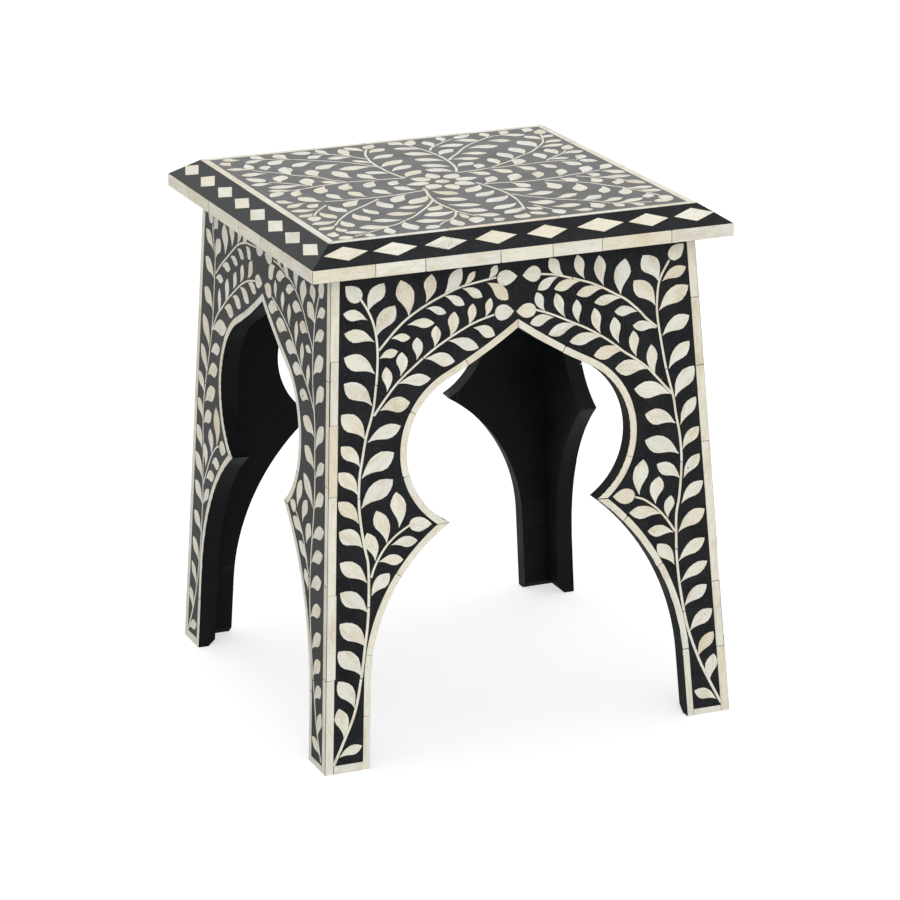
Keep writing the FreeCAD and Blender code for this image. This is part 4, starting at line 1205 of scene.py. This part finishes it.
def butted_run(target, drawing, side, low, high, joints, reach, tones=()):
    """Row of butted strips across a face, mitred at its ends."""
    places = [-reach] + list(joints) + [reach]
    for index, (start, end) in enumerate(zip(places, places[1:])):
        tilt, drop = draw.uniform(*SLAB_TILT), draw.uniform(*SLAB_DROP)
        start, end = start + draw.uniform(JOINT_GAP, WIDEST_GAP) / 2, end - JOINT_GAP / 2
        corners = [(start + tilt, low + drop), (end, low + drop), (end, high), (start, high)]
        strip(target, drawing, side, corners, 0.0, mitres(SEAM_GAP), tones[index] if tones else None)


def rim(side, joints, tones):
    """Slabs of the board's upright edge."""
    shape = bmesh.new()
    butted_run(shape, RIM_DRAWING, side, 0, RIM_HEIGHT, joints, TOP_HALF + OVERRUN, tones)
    keep("bone_rim_" + SIDES[side], shape, BONE, "bone", "rim_slabs_" + SIDES[side])


def top_border(all_joints):
    """Border strips round the flat top."""
    shape = bmesh.new()
    for side, joints in enumerate(all_joints):
        butted_run(shape, TOP_DRAWING, side, -FLAT_HALF, -FIELD_HALF, joints, FLAT_HALF + OVERRUN)
    keep("bone_top_border", shape, BONE, "bone", "top_border_strips")


def diamonds(side, centres, halves, tones, pitted):
    """Bone diamonds of one bevel."""
    shape = bmesh.new()
    for index, centre in enumerate(centres):
        middle = BEVEL_WIDTH / 2 + draw.uniform(*DIAMOND_RISE)
        half = halves[index] + draw.uniform(*DIAMOND_SPREAD)
        tall = DIAMOND_TALL + draw.uniform(*DIAMOND_TALL_SPREAD)
        skew = draw.uniform(*DIAMOND_SKEW)
        piece = blank((centre - half, middle + draw.uniform(*DIAMOND_SLANT)), (centre + skew, middle - tall),
                      (centre + half, middle + draw.uniform(*DIAMOND_SLANT)), (centre + skew, middle + tall))
        inlay(piece)
        set_piece(shape, piece, BEVEL_DRAWING, side, draw.uniform(*DIAMOND_HEADING),
                  tones[index] if tones else None, rounding=0, pits=1.0 if index in pitted else None)
    keep("bone_diamonds_" + SIDES[side], shape, BONE, "bone", "bevel_diamonds_" + SIDES[side])


def rosette():
    """Centre piece of the top and its eight petals."""
    shape = bmesh.new()
    centre = Vector(ROSETTE)
    corners = []
    for corner in range(6):
        angle = math.radians(60 * corner + ROSETTE_TURN)
        corners.append((centre.x + ROSETTE_RADIUS * math.cos(angle),
                        centre.y + ROSETTE_RADIUS * math.sin(angle)))
    piece = blank(*corners)
    inlay(piece)
    set_piece(shape, piece, TOP_DRAWING, 0, 0.3, 0.8, rounding=0)
    for quarter in range(4):
        for offset, start, end, breadth, outline in PETALS:
            angle = math.radians(90 * quarter + offset + draw.uniform(*PETAL_TURN))
            way = Vector((math.cos(angle), math.sin(angle)))
            piece = leaf(centre + way * start, centre + way * end, breadth, outline, 1)
            inlay(piece)
            set_piece(shape, piece, TOP_DRAWING, 0, angle, rounding=0)
    keep("bone_rosette", shape, BONE, "bone", "top_rosette")


# The whole stool

LEFT_EDGING = edging_joints(LEFT_HALF, (47, 100, 165), (-13, 31), (46,))
RIGHT_EDGING = edging_joints(RIGHT_HALF, (62, 141, 186), (-20,), (40,))


def side_inlay(side, vines, jitter, holes=()):
    """Vines of one side face."""
    stems, leaves = bmesh.new(), bmesh.new()
    lay_vines(stems, leaves, SIDE_DRAWING, side, vines, SIDE_STEM_WIDTH, jitter)
    for x, y, radius in holes:
        filler(leaves, SIDE_DRAWING, side, Vector((x, y)), radius)
    keep("bone_stems_" + SIDES[side], stems, BONE, "bone", "side_stems_" + SIDES[side])
    keep("bone_leaves_" + SIDES[side], leaves, BONE, "bone", "side_leaves_" + SIDES[side])


def top_inlay():
    """Vines of the four quarters of the top."""
    stems, leaves = bmesh.new(), bmesh.new()
    for vines in TOP_QUARTERS:
        lay_vines(stems, leaves, TOP_DRAWING, 0, vines, TOP_STEM_WIDTH)
    keep("bone_stems_top", stems, BONE, "bone", "top_stems")
    keep("bone_leaves_top", leaves, BONE, "bone", "top_leaves")


LEFT_EDGING_TONES = (0.7, 0.8, 0.5, 0.6, 0.85, 0.7, 0.6, 0.28)
RIGHT_EDGING_TONES = (0.6, 0.8, 0.45, 0.6, 0.42, 0.5, 0.6)
RIM_JOINTS = ((-135, -91, -24, 23, 68, 132), (-120, -60, 15, 80), (-140, -70, -10, 60, 120),
              (-130, -75, 5, 62, 118))
RIM_TONES = ((0.35, 0.75, 0.95, 0.5, 0.85, 0.3, 0.97), (), (), (0.6, 0.3, 0.5, 0.6, 0.38, 0.9))
LEFT_STRIP_JOINTS = ((83, 157, 242, 303, 357), (70, 150, 230, 330), (95, 180, 260, 350), (60, 140, 235, 320))
RIGHT_STRIP_JOINTS = ((60, 120, 247, 315, 375), (90, 170, 280, 360), (50, 130, 220, 310), (83, 165, 250, 340))
LEFT_STRIP_TONES = ((0.85, 0.75, 0.65, 0.2, 0.95, 0.6), (), (), ())
RIGHT_STRIP_TONES = ((0.4, 0.62, 0.6, 0.45, 0.3, 0.45), (), (), (0.6, 0.5, 0.65, 0.3, 0.5))
LEFT_STRIP_GROWTH = ((-0.5, 0.7, 0.1, 0.2, 0.0, 0.0), (), (), ())
DIAMOND_CENTRES = ((-156, -113, -68, -23, 23, 72, 116, 158.5), (-158, -112, -67, -22, 22, 67, 112, 157),
                   (-157, -112, -66, -22, 23, 68, 112, 158), (-159, -113, -67, -22, 21, 65, 108, 152))
BORDER_JOINTS = ((-60, 40), (-20, 90), (-80, 10), (-45, 70))
FRONT_DIAMOND_HALVES = (20.3, 20.3, 19.8, 19.8, 19.3, 22.3, 19.3, 19.3)
FRONT_DIAMOND_TONES = (0.42, 0.65, 0.85, 0.4, 0.35, 0.45, 0.5, 0.6)
FACE_VINES = (LEFT_VINES + RIGHT_VINES, LEFT_FACE_VINES, LEFT_VINES + RIGHT_VINES, LEFT_FACE_VINES)
# Filled holes in the leaves of each face: place and radius.
FACE_HOLES = (((154.5, 225.5, 0.7), (121, 172.5, 0.6), (168, 91, 0.5)), (), (), ((107.5, 312, 1.1),))

top_resin()
top_border(BORDER_JOINTS)
rosette()
top_inlay()
for number in range(4):
    side_resin(number)
    bevel_resin(number)
    corner_strips(number, LEFT_STRIP_JOINTS[number], RIGHT_STRIP_JOINTS[number], LEFT_STRIP_TONES[number],
                  RIGHT_STRIP_TONES[number], LEFT_STRIP_GROWTH[number])
    foot_strips(number, FOOT_STRIP_HEIGHTS)
    rim(number, RIM_JOINTS[number], RIM_TONES[number])
    diamonds(number, DIAMOND_CENTRES[number], (DIAMOND_HALF,) * 8 if number else FRONT_DIAMOND_HALVES,
             () if number else FRONT_DIAMOND_TONES, () if number else (2,))
    arch = bmesh.new()
    edging_run(arch, number, -1, LEFT_HALF, LEFT_EDGING, () if number else LEFT_EDGING_TONES)
    edging_run(arch, number, 1, RIGHT_HALF, RIGHT_EDGING, () if number else RIGHT_EDGING_TONES)
    keep("bone_edging_" + SIDES[number], arch, BONE, "bone", "arch_edging_" + SIDES[number])
    side_inlay(number, FACE_VINES[number], COPY_JITTER if number in (1, 2) else 0.0, FACE_HOLES[number])

for name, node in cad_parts.items():
    if name.startswith(("side_panel", "top_board", "cleat", "corner_block")):
        for slot in node.material_slots:
            slot.material = PAINT


# Floor and light

FLOOR_SIZE = 12
FLOOR_GREY = 0.6
FLOOR_GLOW = 0.6
GLOSS_SHARE = 0.2
WORLD_LIGHT = 0.55
LAMP_AIM = Vector((0, 0, 0.25))
# Name, place, size and power of each lamp.
LAMPS = (
    ("key", (-1.1, -3.6, 1.3), 2.8, 60),
    ("fill", (1.2, -3.6, 2.0), 2.6, 16),
    ("side", (-3.6, -0.6, 1.3), 2.4, 15),
    ("over", (0.4, 0.6, 3.4), 2.6, 27),
    ("back", (-1.0, 3.4, 1.8), 2.6, 20),
)


def studio():
    """Pale floor, white surroundings as the camera and gloss see them, and soft lamps."""
    floor = bmesh.new()
    bmesh.ops.create_grid(floor, x_segments=1, y_segments=1, size=FLOOR_SIZE)
    mesh = bpy.data.meshes.new("floor")
    floor.to_mesh(mesh)
    floor.free()
    material = bpy.data.materials.new("floor")
    material.use_nodes = True
    tree = material.node_tree
    shader = tree.nodes["Principled BSDF"]
    shader.inputs["Base Color"].default_value = (FLOOR_GREY, FLOOR_GREY, FLOOR_GREY, 1)
    shader.inputs["Roughness"].default_value = 0.9
    shader.inputs["Specular IOR Level"].default_value = 0.0
    seen = add(tree, "ShaderNodeLightPath").outputs
    shown = maths(tree, "MAXIMUM", seen["Is Camera Ray"], times(tree, seen["Is Glossy Ray"], GLOSS_SHARE))
    shown = maths(tree, "MAXIMUM", shown, seen["Is Transmission Ray"])
    shader.inputs["Emission Color"].default_value = (1, 1, 1, 1)
    tree.links.new(times(tree, shown, FLOOR_GLOW), shader.inputs["Emission Strength"])
    mesh.materials.append(material)
    obj = bpy.data.objects.new("floor", mesh)
    bpy.context.scene.collection.objects.link(obj)

    world = bpy.data.worlds.new("studio")
    bpy.context.scene.world = world
    world.use_nodes = True
    tree = world.node_tree
    ground = tree.nodes["Background"]
    seen = add(tree, "ShaderNodeLightPath").outputs
    shown = maths(tree, "MAXIMUM", seen["Is Camera Ray"], seen["Is Glossy Ray"])
    shown = maths(tree, "MAXIMUM", shown, seen["Is Transmission Ray"])
    ground.inputs["Color"].default_value = (1, 1, 1, 1)
    tree.links.new(ramp(tree, shown, 0.0, 1.0, WORLD_LIGHT, 1.0), ground.inputs["Strength"])

    for name, place, size, power in LAMPS:
        data = bpy.data.lights.new(name, "AREA")
        data.energy = power
        data.size = size
        lamp = bpy.data.objects.new(name, data)
        lamp.location = place
        lamp.rotation_euler = (LAMP_AIM - Vector(place)).to_track_quat("-Z", "Y").to_euler()
        lamp.visible_glossy = False
        bpy.context.scene.collection.objects.link(lamp)


studio()
bpy.context.scene.view_settings.view_transform = "Standard"
